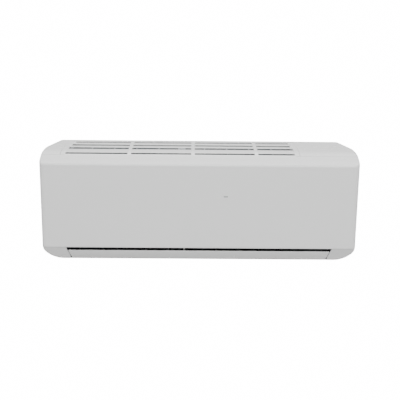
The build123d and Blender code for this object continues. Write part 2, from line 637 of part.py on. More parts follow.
def make_air_scroll():
    """The curved rear guide of the fan, from its rear gutter down to the outlet's floor."""
    angles = [SCROLL_START + (SCROLL_END - SCROLL_START) * i / 8 for i in range(9)]
    inner = [scroll_point(a, 0) for a in angles] + [(FLOOR_D, BOTTOM + SKIN + SCROLL_T)]
    outer = [scroll_point(a, SCROLL_T) for a in angles] + [(FLOOR_D, BOTTOM + SKIN)]
    gutter = [(outer[0][0] - 3, outer[0][1] + 4), (BACK_D + BACK_T + 3, outer[0][1] + 8),
              (BACK_D + BACK_T + 3, outer[0][1] + 20), (BACK_D + BACK_T, outer[0][1] + 20),
              (BACK_D + BACK_T, outer[0][1] + 4), (outer[1][0], outer[1][1] + 2), outer[1]]
    scroll = plate(inner + outer[::-1][:-1], AIR_LEFT, AIR_RIGHT)
    tray = plate([outer[1], inner[0], (inner[0][0] - 1, inner[0][1] + 3), gutter[1], gutter[2], gutter[3],
                  gutter[4]], AIR_LEFT, AIR_RIGHT)
    feet, holes = [], []
    for x in vane_places():
        place = vane_frame(x)
        feet.append(place * Pos(0, 0, VANE_FOOT_LOW) * Cylinder(VANE_FOOT_R, VANE_FOOT_H, align=STANDING))
        holes.append(place * Pos(0, 0, VANE_HOLE_LOW) * Cylinder(VANE_PIN_R + RUN_GAP, 8, align=STANDING))
    scroll = join(scroll, tray, *feet)
    for hole in holes:
        scroll = scroll - hole
    keep("air_scroll", scroll)


def air_ceiling(x0, x1, grow):
    """The upper wall of the outlet."""
    return bar(CEILING_START, CEILING_END, -CEILING_T - grow, x0, x1)


def ceiling_point(run, above):
    """A pair above the ceiling's underside, a run back from its front end."""
    rise = (CEILING_START[1] - CEILING_END[1]) / (CEILING_END[0] - CEILING_START[0])
    return (CEILING_END[0] - run, CEILING_END[1] + rise * run + above)


def cheek_face():
    """The side of the outlet, clear of the flap's swing."""
    limit = CEILING_END[0] - CHEEK_FRONT
    return [(70.0, BOTTOM + SKIN), (FLOOR_D - 9, BOTTOM + SKIN), (FLOOR_D - 9, BOTTOM + 27.0),
            (FLOOR_D + 9, BOTTOM + 35.0), (limit, PANEL_EDGE_Z), (limit, CEILING_END[1] + 4),
            ceiling_point(14.0, 1.3), CEILING_START, (125.0, -75.0), (100.0, -88.0)]


def make_outlet_duct():
    """Upper wall, cheeks and blank end of the outlet behind the flap."""
    duct = air_ceiling(AIR_LEFT - CHEEK_T, AIR_RIGHT + CHEEK_T, 0)
    duct = duct + plate(cheek_face(), AIR_LEFT - CHEEK_T, AIR_LEFT)
    duct = duct + plate(cheek_face(), AIR_RIGHT, AIR_RIGHT + CHEEK_T)
    axis = (FLAP_AXIS_D, FLAP_AXIS_Z)
    foot = [(FLOOR_D + 10, BOTTOM + SKIN), (axis[0] + 3, axis[1] + 4), (axis[0] + 3, axis[1] + 20)]
    right_x = FLAP_HALF_TOP + FLAP_GAP
    left_x = -right_x - CHEEK_T
    blank_d = FLOOR_D - 12.0
    left = [(FLOOR_D - 9, BOTTOM + SKIN), *foot, (FLOOR_D - 9, BOTTOM + 33.0)]
    duct = duct + plate(left, left_x, left_x + CHEEK_T)
    right = [(blank_d, BOTTOM + SKIN), *foot, (blank_d, PANEL_EDGE_Z)]
    duct = duct + plate(right, right_x, right_x + CHEEK_T)
    duct = duct + block(AIR_RIGHT + 1, right_x + CHEEK_T, blank_d, blank_d + 2.5, BOTTOM + SKIN, FRAME_LOW)
    duct = duct + block(AIR_RIGHT + 1, right_x + CHEEK_T, blank_d, DEPTH - 18.0, FRAME_LOW - 2.5, FRAME_LOW)
    for x in (left_x, right_x):
        duct = duct - rod_x(axis, FLAP_PIN_R + RUN_GAP, x - 1, x + CHEEK_T + 1)
    for x in vane_places():
        hole = Cylinder(VANE_PIN_R + RUN_GAP, 30, align=STANDING)
        duct = duct - vane_frame(x) * Pos(0, 0, VANE_TOP) * hole
    keep("outlet_duct", duct)


# ================================================================ vertical vanes
def vane_places():
    left = [VANE_LEFT_START + VANE_PITCH * i for i in range(VANE_COUNT)]
    right = [VANE_RIGHT_START + VANE_PITCH * i for i in range(VANE_COUNT)]
    return left + right


def vane_frame(x):
    """A place whose Z runs up a vane's pivot and whose X runs with the air."""
    a = math.radians(VANE_ANGLE)
    along = (0, -math.sin(a), math.cos(a))
    flow = (0, -math.cos(a), -math.sin(a))
    return Plane(origin=at(VANE_BASE, x), x_dir=flow, z_dir=along).location


def make_vane(name, x, with_tab):
    """One vane: a tapered blade on two pins, with an ear for the tie rod."""
    h0, h1 = VANE_LOW, VANE_TOP
    blade = make_face(Polyline((-VANE_HEEL, 0, h0), (VANE_HEEL, 0, h0), (VANE_CHORD, 0, VANE_TIP_LOW),
                               (VANE_CHORD, 0, VANE_TIP_TOP), (VANE_HEEL, 0, h1), (-VANE_HEEL, 0, h1),
                               close=True))
    vane = Pos(0, VANE_T / 2, 0) * extrude(blade, amount=VANE_T, dir=(0, -1, 0))
    hub = Pos(0, 0, (h0 + h1) / 2) * Cylinder(VANE_PIN_R + 0.6, h1 - h0)
    pins = Pos(0, 0, (h0 + h1) / 2) * Cylinder(VANE_PIN_R, h1 - h0 + 2 * VANE_PIN_L)
    z = ROD_LOW + ROD_T + 0.4
    ear = Pos(-ROD_OFFSET / 2, 0, z + 1.0) * Box(ROD_OFFSET, VANE_T + 1.5, 2.0)
    pin = Pos(-ROD_OFFSET, 0, (ROD_LOW - 1 + z + 2) / 2) * Cylinder(ROD_PIN_R, z + 2 - ROD_LOW + 1)
    tip = Pos(-ROD_OFFSET, 0, z + 1.0) * Cylinder(ROD_PIN_R + 0.8, 2.0)
    vane = vane + hub + pins + ear + pin + tip
    if with_tab:
        vane = vane + Pos(VANE_CHORD - 4, 0, (VANE_TIP_LOW + VANE_TIP_TOP) / 2) * Box(8, 7, 9)
    keep(name, vane_frame(x) * vane)


def make_tie_rod(name, x_first):
    """The bar that joins the vanes of one group."""
    length = VANE_PITCH * (VANE_COUNT - 1)
    rod = Pos(-ROD_OFFSET, length / 2, ROD_LOW + ROD_T / 2) * Box(5.0, length + 8, ROD_T)
    for i in range(VANE_COUNT):
        hole = Cylinder(ROD_PIN_R + RUN_GAP, ROD_T + 2)
        rod = rod - Pos(-ROD_OFFSET, VANE_PITCH * i, ROD_LOW + ROD_T / 2) * hole
    place = vane_frame(x_first)
    probe = (place * Pos(0, 1, 0)).position.X
    if probe < x_first:
        rod = rod.mirror(Plane.XZ)
    keep(name, place * rod)


def make_vanes():
    places = vane_places()
    for i, x in enumerate(places):
        group, number = ("left", i + 1) if i < VANE_COUNT else ("right", i - VANE_COUNT + 1)
        make_vane(f"vane_{group}_{number}", x, number == (VANE_COUNT + 1) // 2)
    make_tie_rod("tie_rod_left", places[0])
    make_tie_rod("tie_rod_right", places[VANE_COUNT])


# ================================================================ fan
def make_fan():
    """Cross-flow fan on its shafts, motor and bearing."""
    left, right = AIR_LEFT + FAN_END_GAP, AIR_RIGHT - FAN_END_GAP
    mid = (FAN_R + FAN_INNER_R) / 2
    chord = FAN_R - FAN_INNER_R
    lean = math.radians(25.0)
    outline = []
    for side in (1, -1):
        for step in range(3):
            s = (step - 1) * (chord / 2 - 0.2)
            bow = 1.2 * (1 - (2 * s / chord) ** 2)
            x = mid + s * math.cos(lean) - (bow + side * FAN_BLADE_T / 2) * math.sin(lean)
            y = s * math.sin(lean) + (bow + side * FAN_BLADE_T / 2) * math.cos(lean)
            outline.append((x, y))
    outline = outline[:3] + outline[:2:-1]
    blades = []
    for i in range(FAN_BLADES):
        a = 2 * math.pi * i / FAN_BLADES
        pairs = [(FAN_D + x * math.cos(a) - y * math.sin(a), FAN_Z + x * math.sin(a) + y * math.cos(a))
                 for x, y in outline]
        blades.append(plate(pairs, left, right))
    axis = (FAN_D, FAN_Z)
    discs = []
    for i in range(FAN_DISCS):
        x = left + (right - left - FAN_DISC_T) * i / (FAN_DISCS - 1)
        disc = rod_x(axis, FAN_R - 0.5, x, x + FAN_DISC_T)
        if 0 < i < FAN_DISCS - 1:
            disc = disc - rod_x(axis, FAN_INNER_R - 3, x - 1, x + FAN_DISC_T + 1)
        discs.append(disc)
    hub = rod_x(axis, 11.0, right - 22, right)
    stub = rod_x(axis, 8.0, left, left + 12)
    fan = discs[0].fuse(*discs[1:], *blades, hub, stub)
    for x0, x1 in ((right - 20, right + 1), (left - 1, left + 10)):
        fan = fan - rod_x(axis, FAN_SHAFT_R, x0, x1)
    keep("cross_flow_fan", fan)
    keep("fan_stub_shaft", rod_x(axis, FAN_SHAFT_R, END_WALL_LEFT + 4, left + 10))
    start, end = MOTOR_START, MOTOR_START + MOTOR_L
    shaft = rod_x(axis, FAN_SHAFT_R, right - 20, end - 6)
    keep("motor_shaft", shaft)
    rotor = rod_x(axis, 24.0, start + 10, end - 12) - rod_x(axis, FAN_SHAFT_R, start, end)
    keep("motor_rotor", rotor)
    can = rod_x(axis, MOTOR_R, start + 4, end - 4)
    can = can + rod_x(axis, 12.0, start, end)
    can = can - rod_x(axis, 25.0, start + 9, end - 11)
    keep("fan_motor", can - rod_x(axis, FAN_SHAFT_R + RUN_GAP, start - 1, end - 4))
    rings = [rod_x(axis, 17.0, x, x + 4) - rod_x(axis, 12.0, x - 1, x + 5) for x in (start, end - 4)]
    keep("motor_rings", group(rings))
    bracket = block(end, end + 2, FAN_D - 42, FAN_D + 42, FAN_Z - 47, FAN_Z + 47)
    bracket = bracket - rod_x(axis, 14.0, end - 1, end + 3)
    for z0, z1 in ((FAN_Z + 45, FAN_Z + 47), (FAN_Z - 47, FAN_Z - 45)):
        bracket = bracket + block(END_WALL_RIGHT + BACK_T, end + 2, FAN_D - 15, FAN_D + 15, z0, z1)
    keep("motor_bracket", bracket)
    x0, x1 = END_WALL_LEFT + BEARING_IN, END_WALL_LEFT + BEARING_IN + BEARING_L
    bore = rod_x(axis, FAN_SHAFT_R + RUN_GAP, x0 - 1, x1 + 1)
    keep("fan_bush", rod_x(axis, BUSH_R, x0, x1) - bore)
    keep("rubber_bearing", rod_x(axis, BEARING_R, x0, x1) - rod_x(axis, BUSH_R, x0 - 1, x1 + 1))
    cup = rod_x(axis, BEARING_R + 3.0, END_WALL_LEFT + BACK_T, x1)
    cup = cup - rod_x(axis, BEARING_R, x0, x1 + 1) - rod_x(axis, FAN_SHAFT_R + 1.0, END_WALL_LEFT, x0 + 1)
    keep("bearing_housing", cup)


# ================================================================ coil
def block_frame(start, end):
    """Middle, unit direction and length of a fin block's centre line."""
    run, rise = end[0] - start[0], end[1] - start[1]
    length = math.hypot(run, rise)
    return ((start[0] + end[0]) / 2, (start[1] + end[1]) / 2), (run / length, rise / length), length


def corners_of(start, end, half_t, grow=0.0):
    """The four corners of a fin block's section."""
    _, u, _ = block_frame(start, end)
    n = (-u[1], u[0])
    a = (start[0] - u[0] * grow, start[1] - u[1] * grow)
    b = (end[0] + u[0] * grow, end[1] + u[1] * grow)
    h = half_t + grow
    return [(a[0] + n[0] * h, a[1] + n[1] * h), (b[0] + n[0] * h, b[1] + n[1] * h),
            (b[0] - n[0] * h, b[1] - n[1] * h), (a[0] - n[0] * h, a[1] - n[1] * h)]


def make_fin_block(name, start, end):
    """A fin block: a comb with its fins to the front and to the back of a spine."""
    x0, x1 = AIR_LEFT + END_PLATE_T, AIR_RIGHT - END_PLATE_T
    count = int((x1 - x0) / COIL_FIN_PITCH)
    h, s = COIL_T / 2, COIL_SPINE_T / 2
    upper, lower = [], []
    first = x0 + (x1 - x0 - (count - 1) * COIL_FIN_PITCH - COIL_FIN_T) / 2
    for i in range(count):
        a = first + i * COIL_FIN_PITCH
        b = a + COIL_FIN_T
        upper += [(a, s), (a, h), (b, h), (b, s)]
        lower += [(a, -s), (a, -h), (b, -h), (b, -s)]
    points = [(x0, s)] + upper + [(x1, s), (x1, -s)] + lower[::-1] + [(x0, -s)]
    middle, u, length = block_frame(start, end)
    place = Plane(origin=at(start), x_dir=(1, 0, 0), z_dir=(0, -u[0], u[1]))
    face = make_face(Polyline(*[(x, y, 0) for x, y in points], close=True))
    keep(name, place.location * extrude(face, amount=length, dir=(0, 0, 1)))


def make_coil():
    """Fin blocks, end plates and return bends."""
    for name, (start, end) in COIL_BLOCKS.items():
        make_fin_block(name, start, end)
    outlines = [corners_of(start, end, COIL_T / 2, END_PLATE_MARGIN) for start, end in COIL_BLOCKS.values()]
    sheets = []
    for x0 in (AIR_LEFT, AIR_RIGHT - END_PLATE_T):
        sheets.append(join(*[plate(pairs, x0, x0 + END_PLATE_T) for pairs in outlines + COIL_WEBS]))
    keep("coil_plates", group(sheets))
    bends = []
    for start, end in COIL_BLOCKS.values():
        bends += block_bends(start, end, AIR_LEFT, -1, 0.0)
        bends += block_bends(start, end, AIR_RIGHT, 1, TUBE_PITCH)
    keep("return_bends", group(bends))


def block_bends(start, end, x0, side, shift):
    """The return bends at one end of one fin block."""
    _, u, length = block_frame(start, end)
    n = (-u[1], u[0])
    bends = []
    for row in (-TUBE_ROW, TUBE_ROW):
        s = 11.0 + shift
        while s + TUBE_PITCH < length - 6:
            a = (start[0] + u[0] * s + n[0] * row, start[1] + u[1] * s + n[1] * row)
            b = (a[0] + u[0] * TUBE_PITCH, a[1] + u[1] * TUBE_PITCH)
            bends.append(return_bend(a, b, x0, side))
            s += 2 * TUBE_PITCH
    return bends


def return_bend(a, b, x0, side):
    """One U of tube from pair a to pair b, standing out of an end plate."""
    x1 = x0 + side * BEND_STUB
    r = math.hypot(b[0] - a[0], b[1] - a[1]) / 2
    middle = ((a[0] + b[0]) / 2, (a[1] + b[1]) / 2)
    path = Wire([Edge.make_line(at(a, x0), at(a, x1)),
                 Edge.make_three_point_arc(at(a, x1), at(middle, x1 + side * r), at(b, x1)),
                 Edge.make_line(at(b, x1), at(b, x0))])
    profile = Plane(origin=at(a, x0), z_dir=(side, 0, 0)).location * Circle(TUBE_R)
    return sweep(profile, path=path).solids()[0]


def make_pipes():
    """Refrigerant pipes along the back, each ending in a flare union with its nut."""
    liquid = (LIQUID_R, LIQUID_START, LIQUID_DROP, LIQUID_LINE, LIQUID_END, LIQUID_NUT_R)
    gas = (GAS_R, GAS_START, GAS_DROP, GAS_LINE, GAS_END, GAS_NUT_R)
    nuts = []
    for name, (r, start, drop, line, end_x, nut_r) in {"liquid_pipe": liquid, "gas_pipe": gas}.items():
        points = [at(start, AIR_RIGHT), at(start, drop), at(line, drop), at(line, end_x)]
        profile = Plane(origin=points[0], z_dir=(1, 0, 0)).location * Circle(r)
        pipe = sweep(profile, path=FilletPolyline(*points, radius=PIPE_BEND))
        keep(name, pipe + rod_x(line, r + UNION_WALL, end_x - UNION_L, end_x))
        nut = Pos(*at(line, end_x)) * Rot(0, 90, 0) * extrude(RegularPolygon(nut_r, 6), amount=NUT_L)
        nuts.append(nut - rod_x(line, r + FIT_GAP, end_x - 1, end_x + NUT_L + 1))
    keep("flare_nuts", group(nuts))
    low, high = GAS_LINE[1] - CLAMP_MARGIN, LIQUID_LINE[1] + CLAMP_MARGIN
    clamp = block(CLAMP_X, CLAMP_X + CLAMP_W, BACK_D + BACK_T, GAS_LINE[0] + 7.0, low, high)
    for line, r in ((LIQUID_LINE, LIQUID_R), (GAS_LINE, GAS_R)):
        clamp = clamp - rod_x(line, r + 2 * FIT_GAP, CLAMP_X - 1, CLAMP_X + CLAMP_W + 1)
    keep("pipe_clamp", clamp)


# ================================================================ pan and filters
def make_drain_pan():
    """The tray below the front fin block, with its spigot."""
    x0, x1 = AIR_LEFT - 3.0, AIR_RIGHT + 3.0
    back, front = 137.0, DEPTH - 15.0
    pan = plate([(back, -44.0), (back, -59.5), (front, -59.5), (front, -40.0), (front - 2.5, -40.0),
                 (front - 2.5, -57.0), (back + 2.5, -57.0), (back + 2.5, -44.0)], x0, x1)
    nose = plate([(134.0, -52.0), (137.0, -50.0), (137.0, -59.5), (135.0, -62.0), (133.5, -60.0)], x0, x1)
    pan = pan + nose
    for x in (x0, x1 - 2.0):
        pan = pan + block(x, x + 2.0, back, front, -59.5, -44.0)
    for x in (-300.0, -150.0, 0.0, 150.0, 220.0):
        pan = pan + block(x, x + 2.0, back + 9.0, front - 5.0, -57.5, -46.8)
    spigot = rod_x((160.0, -50.5), 6.0, x0 - 20, x0) - rod_x((160.0, -50.5), 4.5, x0 - 21, x0 + 3)
    keep("drain_pan", pan - rod_x((160.0, -50.5), 4.5, x0 - 1, x0 + 3) + spigot)


def filter_band(t0, t1, margin=0.0):
    """The section of a sheet that follows the casing from the grille down the front."""
    band = section(FILTER_IN + t0, FILTER_IN + t1)
    back, low = FILTER_BACK + margin, FILTER_LOW + margin
    clip = make_face(Polyline(at((back, TOP)), at((DEPTH, TOP)), at((DEPTH, low)), at((DEPTH - 30, low)),
                              at((DEPTH - 30, TOP - 35)), at((back, TOP - 35)), close=True))
    return band & clip


def make_filters():
    """Two filters, each a ribbed frame with a mesh let into it."""
    frame_band = filter_band(0, FILTER_T)
    near, far = FILTER_T / 2 - MESH_T / 2, FILTER_T / 2 + MESH_T / 2
    mesh_band = filter_band(near, far, MESH_LAP)
    slot_band = filter_band(near - FIT_GAP, far + FIT_GAP, MESH_LAP - FIT_GAP)
    middle = (WINDOW_LEFT + WINDOW_RIGHT) / 2
    spans = {"left": (WINDOW_LEFT + 6.0, middle - FILTER_GAP / 2),
             "right": (middle + FILTER_GAP / 2, WINDOW_RIGHT - 6.0)}
    stations = [(FILTER_BACK, FILTER_BORDER), (88.0, 3.0), (132.0, 3.0)]
    heights = [(FILTER_LOW, FILTER_BORDER), (-26.0, 3.0), (22.0, 3.0), (70.0, 3.0), (112.0, 3.0)]
    meshes = []
    for side, (x0, x1) in spans.items():
        edges = [(x0, FILTER_BORDER), (x1 - FILTER_BORDER, FILTER_BORDER)]
        edges += [(x0 + (x1 - x0) * k / 5 - FILTER_RIB / 2, FILTER_RIB) for k in range(1, 5)]
        bars = [Pos(x, 0, 0) * extrude(frame_band, amount=w, dir=(1, 0, 0)) for x, w in edges]
        whole = Pos(x0, 0, 0) * extrude(frame_band, amount=x1 - x0, dir=(1, 0, 0))
        bars += [whole & block(x0, x1, d, d + w, TOP - 30, TOP) for d, w in stations]
        bars += [whole & block(x0, x1, DEPTH - 30, DEPTH, z, z + w) for z, w in heights]
        handle = block((x0 + x1) / 2 - 18, (x0 + x1) / 2 + 18, DEPTH - 13.5, DEPTH - 6.5,
                       FILTER_LOW - 1.5, FILTER_LOW + 1.0)
        left, width = x0 + MESH_LAP, x1 - x0 - 2 * MESH_LAP
        mesh = Pos(left, 0, 0) * extrude(mesh_band, amount=width, dir=(1, 0, 0))
        slot = Pos(left - FIT_GAP, 0, 0) * extrude(slot_band, amount=width + 2 * FIT_GAP, dir=(1, 0, 0))
        keep(f"air_filter_{side}", join(*bars, handle) - slot)
        meshes.append(mesh)
    keep("filter_meshes", group(meshes))


# ================================================================ chassis and wall plate
def make_chassis():
    """Back wall with end walls, flanges and the windows of the hooks."""
    reach = HALF - CHASSIS_IN
    floor, shelf = BOTTOM + SKIN + 0.3, TOP - SHELF_TOP
    back_top = TOP - GRILLE_T - LEDGE_T - BACK_TOP_GAP
    back = block(-reach, reach, BACK_D, BACK_D + BACK_T, floor, back_top)
    top = block(-reach, reach, BACK_D, SHELF_FRONT, shelf - BACK_T, shelf)
    low = block(-reach, reach, BACK_D, FLANGE_FRONT, floor, floor + BACK_T - 0.3)
    chassis = back + top + low
    front = RING_D - 3.0
    wall = [(BACK_D, floor), (BACK_D, shelf), (FLANGE_FRONT, shelf), (front - 13.0, TOP - 24),
            (front, 100.0), (front, -70.0), (125.0, -90.0), (125.0, floor)]
    left_end, right_end = END_WALL_LEFT, END_WALL_RIGHT
    for x in (left_end, right_end):
        chassis = chassis + plate(wall, x, x + BACK_T)
    for x in (-reach, reach - BACK_T):
        chassis = chassis + block(x, x + BACK_T, BACK_D, FLANGE_FRONT, BOTTOM + CORNER_LOW, shelf)
    for x in HOOK_XS:
        chassis = chassis - block(x - HOOK_W / 2 - 3, x + HOOK_W / 2 + 3, 0, BACK_D + BACK_T + 1,
                                  HOOK_Z - 24, HOOK_Z + PLATE_T + 0.3)
    chassis = chassis - rod_x((FAN_D, FAN_Z), 6.0, left_end - 1, left_end + BACK_T + 1)
    chassis = chassis - rod_x((FAN_D, FAN_Z), 12.2, right_end - 1, right_end + BACK_T + 1)
    for x0, x1 in ((left_end + BACK_T, AIR_LEFT), (AIR_RIGHT, right_end)):
        chassis = chassis + block(x0, x1, 86.0, 94.0, 97.0, 100.0)
        chassis = chassis + block(x0, x1, BACK_D, 25.5, 36.0, 42.0)
    for x0, x1 in ((left_end + BACK_T, AIR_LEFT - CHEEK_T), (AIR_RIGHT + CHEEK_T, right_end)):
        chassis = chassis + block(x0, x1, front - 8.0, front, -63.5, -59.5)
    chassis = chassis - block(left_end - 1, left_end + BACK_T + 1, BACK_D + BACK_T, EXIT_FRONT,
                              BOTTOM + EXIT_LOW, BOTTOM + EXIT_HIGH)
    keep("rear_chassis", chassis & form(SKIN + 0.3))


def make_wall_plate():
    """The sheet screwed to the wall, with two hooks."""
    sheet = block(-PLATE_W / 2, PLATE_W / 2, 0, PLATE_T, -PLATE_H / 2, PLATE_H / 2)
    for x in (-PLATE_W / 4 - 20, PLATE_W / 4 + 20):
        sheet = sheet - block(x - 45, x + 45, -1, PLATE_T + 1, -40, 20)
    for x in (-PLATE_HOLES_X / 2, PLATE_HOLES_X / 2):
        for z in (-PLATE_HOLES_Z / 2, PLATE_HOLES_Z / 2):
            sheet = sheet - rod_y(x, z, PLATE_HOLE_R, -1, PLATE_T + 1)
    for x in HOOK_XS:
        sheet = sheet + block(x - HOOK_W / 2, x + HOOK_W / 2, 0, HOOK_REACH, HOOK_Z, HOOK_Z + PLATE_T)
        sheet = sheet + block(x - HOOK_W / 2, x + HOOK_W / 2, HOOK_REACH - PLATE_T, HOOK_REACH, HOOK_Z,
                              HOOK_Z + HOOK_LIP)
    sheet = sheet + block(-PLATE_W / 2, PLATE_W / 2, 0, 5.0, PLATE_H / 2 - PLATE_T, PLATE_H / 2)
    sheet = sheet + block(-PLATE_W / 2, PLATE_W / 2, 0, 5.0, -PLATE_H / 2, -PLATE_H / 2 + PLATE_T)
    keep("mounting_plate", sheet)


# ================================================================ electrics
def make_electrics():
    """Control box with its boards, terminals, lid, and the manual push button."""
    box = block(BOX_LEFT, BOX_RIGHT, BOX_BACK, BOX_FRONT, BOX_LOW, BOX_HIGH)
    box = box - block(BOX_LEFT + BOX_T, BOX_RIGHT - BOX_T, BOX_BACK + BOX_T, BOX_FRONT + 1,
                      BOX_LOW + BOX_T, BOX_HIGH - BOX_T)
    board_low, board_high = -44.0, BOX_HIGH - 6.0
    for x in (BOX_LEFT + 8, BOX_RIGHT - 8):
        for z in (board_low + 6, board_high - 6):
            box = box + rod_y(x, z, 3.0, BOX_BACK + 1, BOX_BACK + 5)
    keep("control_box", box)
    lid = block(BOX_LEFT, BOX_RIGHT, BOX_FRONT, BOX_FRONT + BOX_T, BOX_LOW, BOX_HIGH)
    keep("control_box_lid", lid)
    face = BOX_BACK + 6.6
    keep("main_board", block(BOX_LEFT + 4, BOX_RIGHT - 4, BOX_BACK + 5, face, board_low, board_high))
    x0 = BOX_LEFT + 10
    parts = [block(x0 + a, x0 + b, face, face + tall, low, high) for a, b, tall, low, high in BOARD_BLOCKS]
    parts += [rod_y(x0 + a, z, r, face, face + tall) for a, z, r, tall in BOARD_CANS]
    keep("board_parts", group(parts))
    terminal = block(BOX_LEFT + 14, BOX_RIGHT - 14, BOX_BACK + BOX_T, BOX_BACK + 18, -76, -54)
    screws = []
    for i in range(4):
        x = BOX_LEFT + 24 + i * 20.6
        terminal = terminal - block(x - 7, x + 7, BOX_BACK + 12, BOX_BACK + 19, -75, -55)
        terminal = terminal - rod_y(x, -65, 1.8, BOX_BACK + 6, BOX_BACK + 13)
        screws.append((rod_y(x, -65, 1.8, BOX_BACK + 6, BOX_BACK + 13)
                       + rod_y(x, -65, 4.0, BOX_BACK + 12, BOX_BACK + 15)).solids()[0])
    keep("terminal_block", terminal)
    keep("terminal_screws", Compound(children=screws))
    frame_back = DEPTH - FACE_BULGE - FRAME_IN - FRAME_T
    board_face = BOX_FRONT + BOX_T + BOARD_T
    key_face = board_face + 1.0
    tip = key_face + BUTTON_TRAVEL + 0.4
    button = rod_y(BUTTON_X, BUTTON_Z, BUTTON_R, frame_back - 2.0, frame_back + FRAME_T + BUTTON_PROUD)
    button = button + rod_y(BUTTON_X, BUTTON_Z, BUTTON_R + 2, frame_back - 2.2, frame_back - 0.9)
    button = button + rod_y(BUTTON_X, BUTTON_Z, 1.5, tip, frame_back - 2.0)
    keep("push_button", button)
    switch = block(BUTTON_X - 10, BUTTON_X + 10, BOX_FRONT + BOX_T, board_face, BUTTON_Z - 8, BUTTON_Z + 8)
    key = block(BUTTON_X - 3, BUTTON_X + 3, board_face - 0.5, key_face, BUTTON_Z - 3, BUTTON_Z + 3)
    keep("switch_board", switch + key)
    room_sensor = block(END_WALL_RIGHT - 5, END_WALL_RIGHT, RING_D - 12, RING_D - 4, 62.0, 84.0)
    coil_sensor = rod_x((111.0, 100.5), 2.6, AIR_RIGHT, AIR_RIGHT + 16)
    keep("temperature_sensors", group([room_sensor, coil_sensor]))


def make_fasteners():
    """Screws that hold the casing to the duct, and their caps."""
    screws, caps = [], []
    for x in SCREW_XS:
        head = rod_z(x, SCREW_D, SCREW_HEAD_R, BOTTOM + SCREW_CAP_T, BOTTOM + SCREW_SEAT)
        screws.append(join(head, rod_z(x, SCREW_D, SCREW_R, BOTTOM + SCREW_SEAT - 0.4, BOTTOM + SCREW_L)))
        caps.append(rod_z(x, SCREW_D, SCREW_CAP_R, BOTTOM, BOTTOM + SCREW_CAP_T).solids()[0])
    keep("casing_screws", Compound(children=screws))
    keep("screw_caps", Compound(children=caps))


def main():
    """Makes every piece and writes one file for each."""
    outer, skin_inner = form(0), form(SKIN)
    make_front_casing(outer & block(-HALF, HALF, 0, DEPTH + 1, BOTTOM, TOP), skin_inner)
    make_front_panel(outer, skin_inner)
    make_inlet_grille()
    make_louver()
    make_air_scroll()
    make_outlet_duct()
    make_vanes()
    make_fan()
    make_coil()
    make_pipes()
    make_drain_pan()
    make_filters()
    make_chassis()
    make_wall_plate()
    make_electrics()
    make_fasteners()
    os.makedirs("parts", exist_ok=True)
    for name, shape in PARTS.items():
        export_step(shape, f"parts/{name}.step")


main()
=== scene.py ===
"""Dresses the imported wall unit: smooth moulded shells, finishes, a pale floor, soft light and the camera.

Sizes are in millimetres in the classes and in metres on the objects. X runs to the right, Y towards the
wall and Z up. A place in a cross section is a pair (depth, height), where the depth is the distance from
the wall.
"""
from __future__ import annotations

import json
import logging
import math
from dataclasses import dataclass
from enum import Enum
from typing import Any, Sequence

import bpy
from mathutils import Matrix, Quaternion, Vector

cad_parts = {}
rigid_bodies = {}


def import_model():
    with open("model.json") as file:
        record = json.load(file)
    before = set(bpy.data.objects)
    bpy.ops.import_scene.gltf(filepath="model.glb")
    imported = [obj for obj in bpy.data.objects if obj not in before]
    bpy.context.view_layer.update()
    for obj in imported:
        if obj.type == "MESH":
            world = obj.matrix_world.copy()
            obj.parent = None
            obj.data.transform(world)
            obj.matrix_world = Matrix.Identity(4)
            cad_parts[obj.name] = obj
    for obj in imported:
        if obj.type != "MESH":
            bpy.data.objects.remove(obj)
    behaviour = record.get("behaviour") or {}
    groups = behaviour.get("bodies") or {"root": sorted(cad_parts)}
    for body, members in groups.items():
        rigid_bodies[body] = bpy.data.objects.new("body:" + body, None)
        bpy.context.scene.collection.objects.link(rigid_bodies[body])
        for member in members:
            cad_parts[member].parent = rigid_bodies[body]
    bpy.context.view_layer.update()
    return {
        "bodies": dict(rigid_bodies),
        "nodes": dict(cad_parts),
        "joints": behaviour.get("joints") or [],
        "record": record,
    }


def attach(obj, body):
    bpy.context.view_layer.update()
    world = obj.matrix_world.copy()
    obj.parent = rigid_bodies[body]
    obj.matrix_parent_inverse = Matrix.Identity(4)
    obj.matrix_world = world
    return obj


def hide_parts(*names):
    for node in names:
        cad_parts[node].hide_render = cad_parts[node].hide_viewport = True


MM = 0.001
ROUND_SIDES = 32
SHARP = 40.0
SAME_PLACE = 1e-6
log = logging.getLogger("wall_unit")

Pair = tuple[float, float]
Point = tuple[float, float, float]
Colour = tuple[float, float, float]


# ---------------------------------------------------------------- hand tools
class Side(Enum):
    """Which part of a cut mesh stays, along the cutting plane's normal."""

    AHEAD = "ahead"
    BEHIND = "behind"


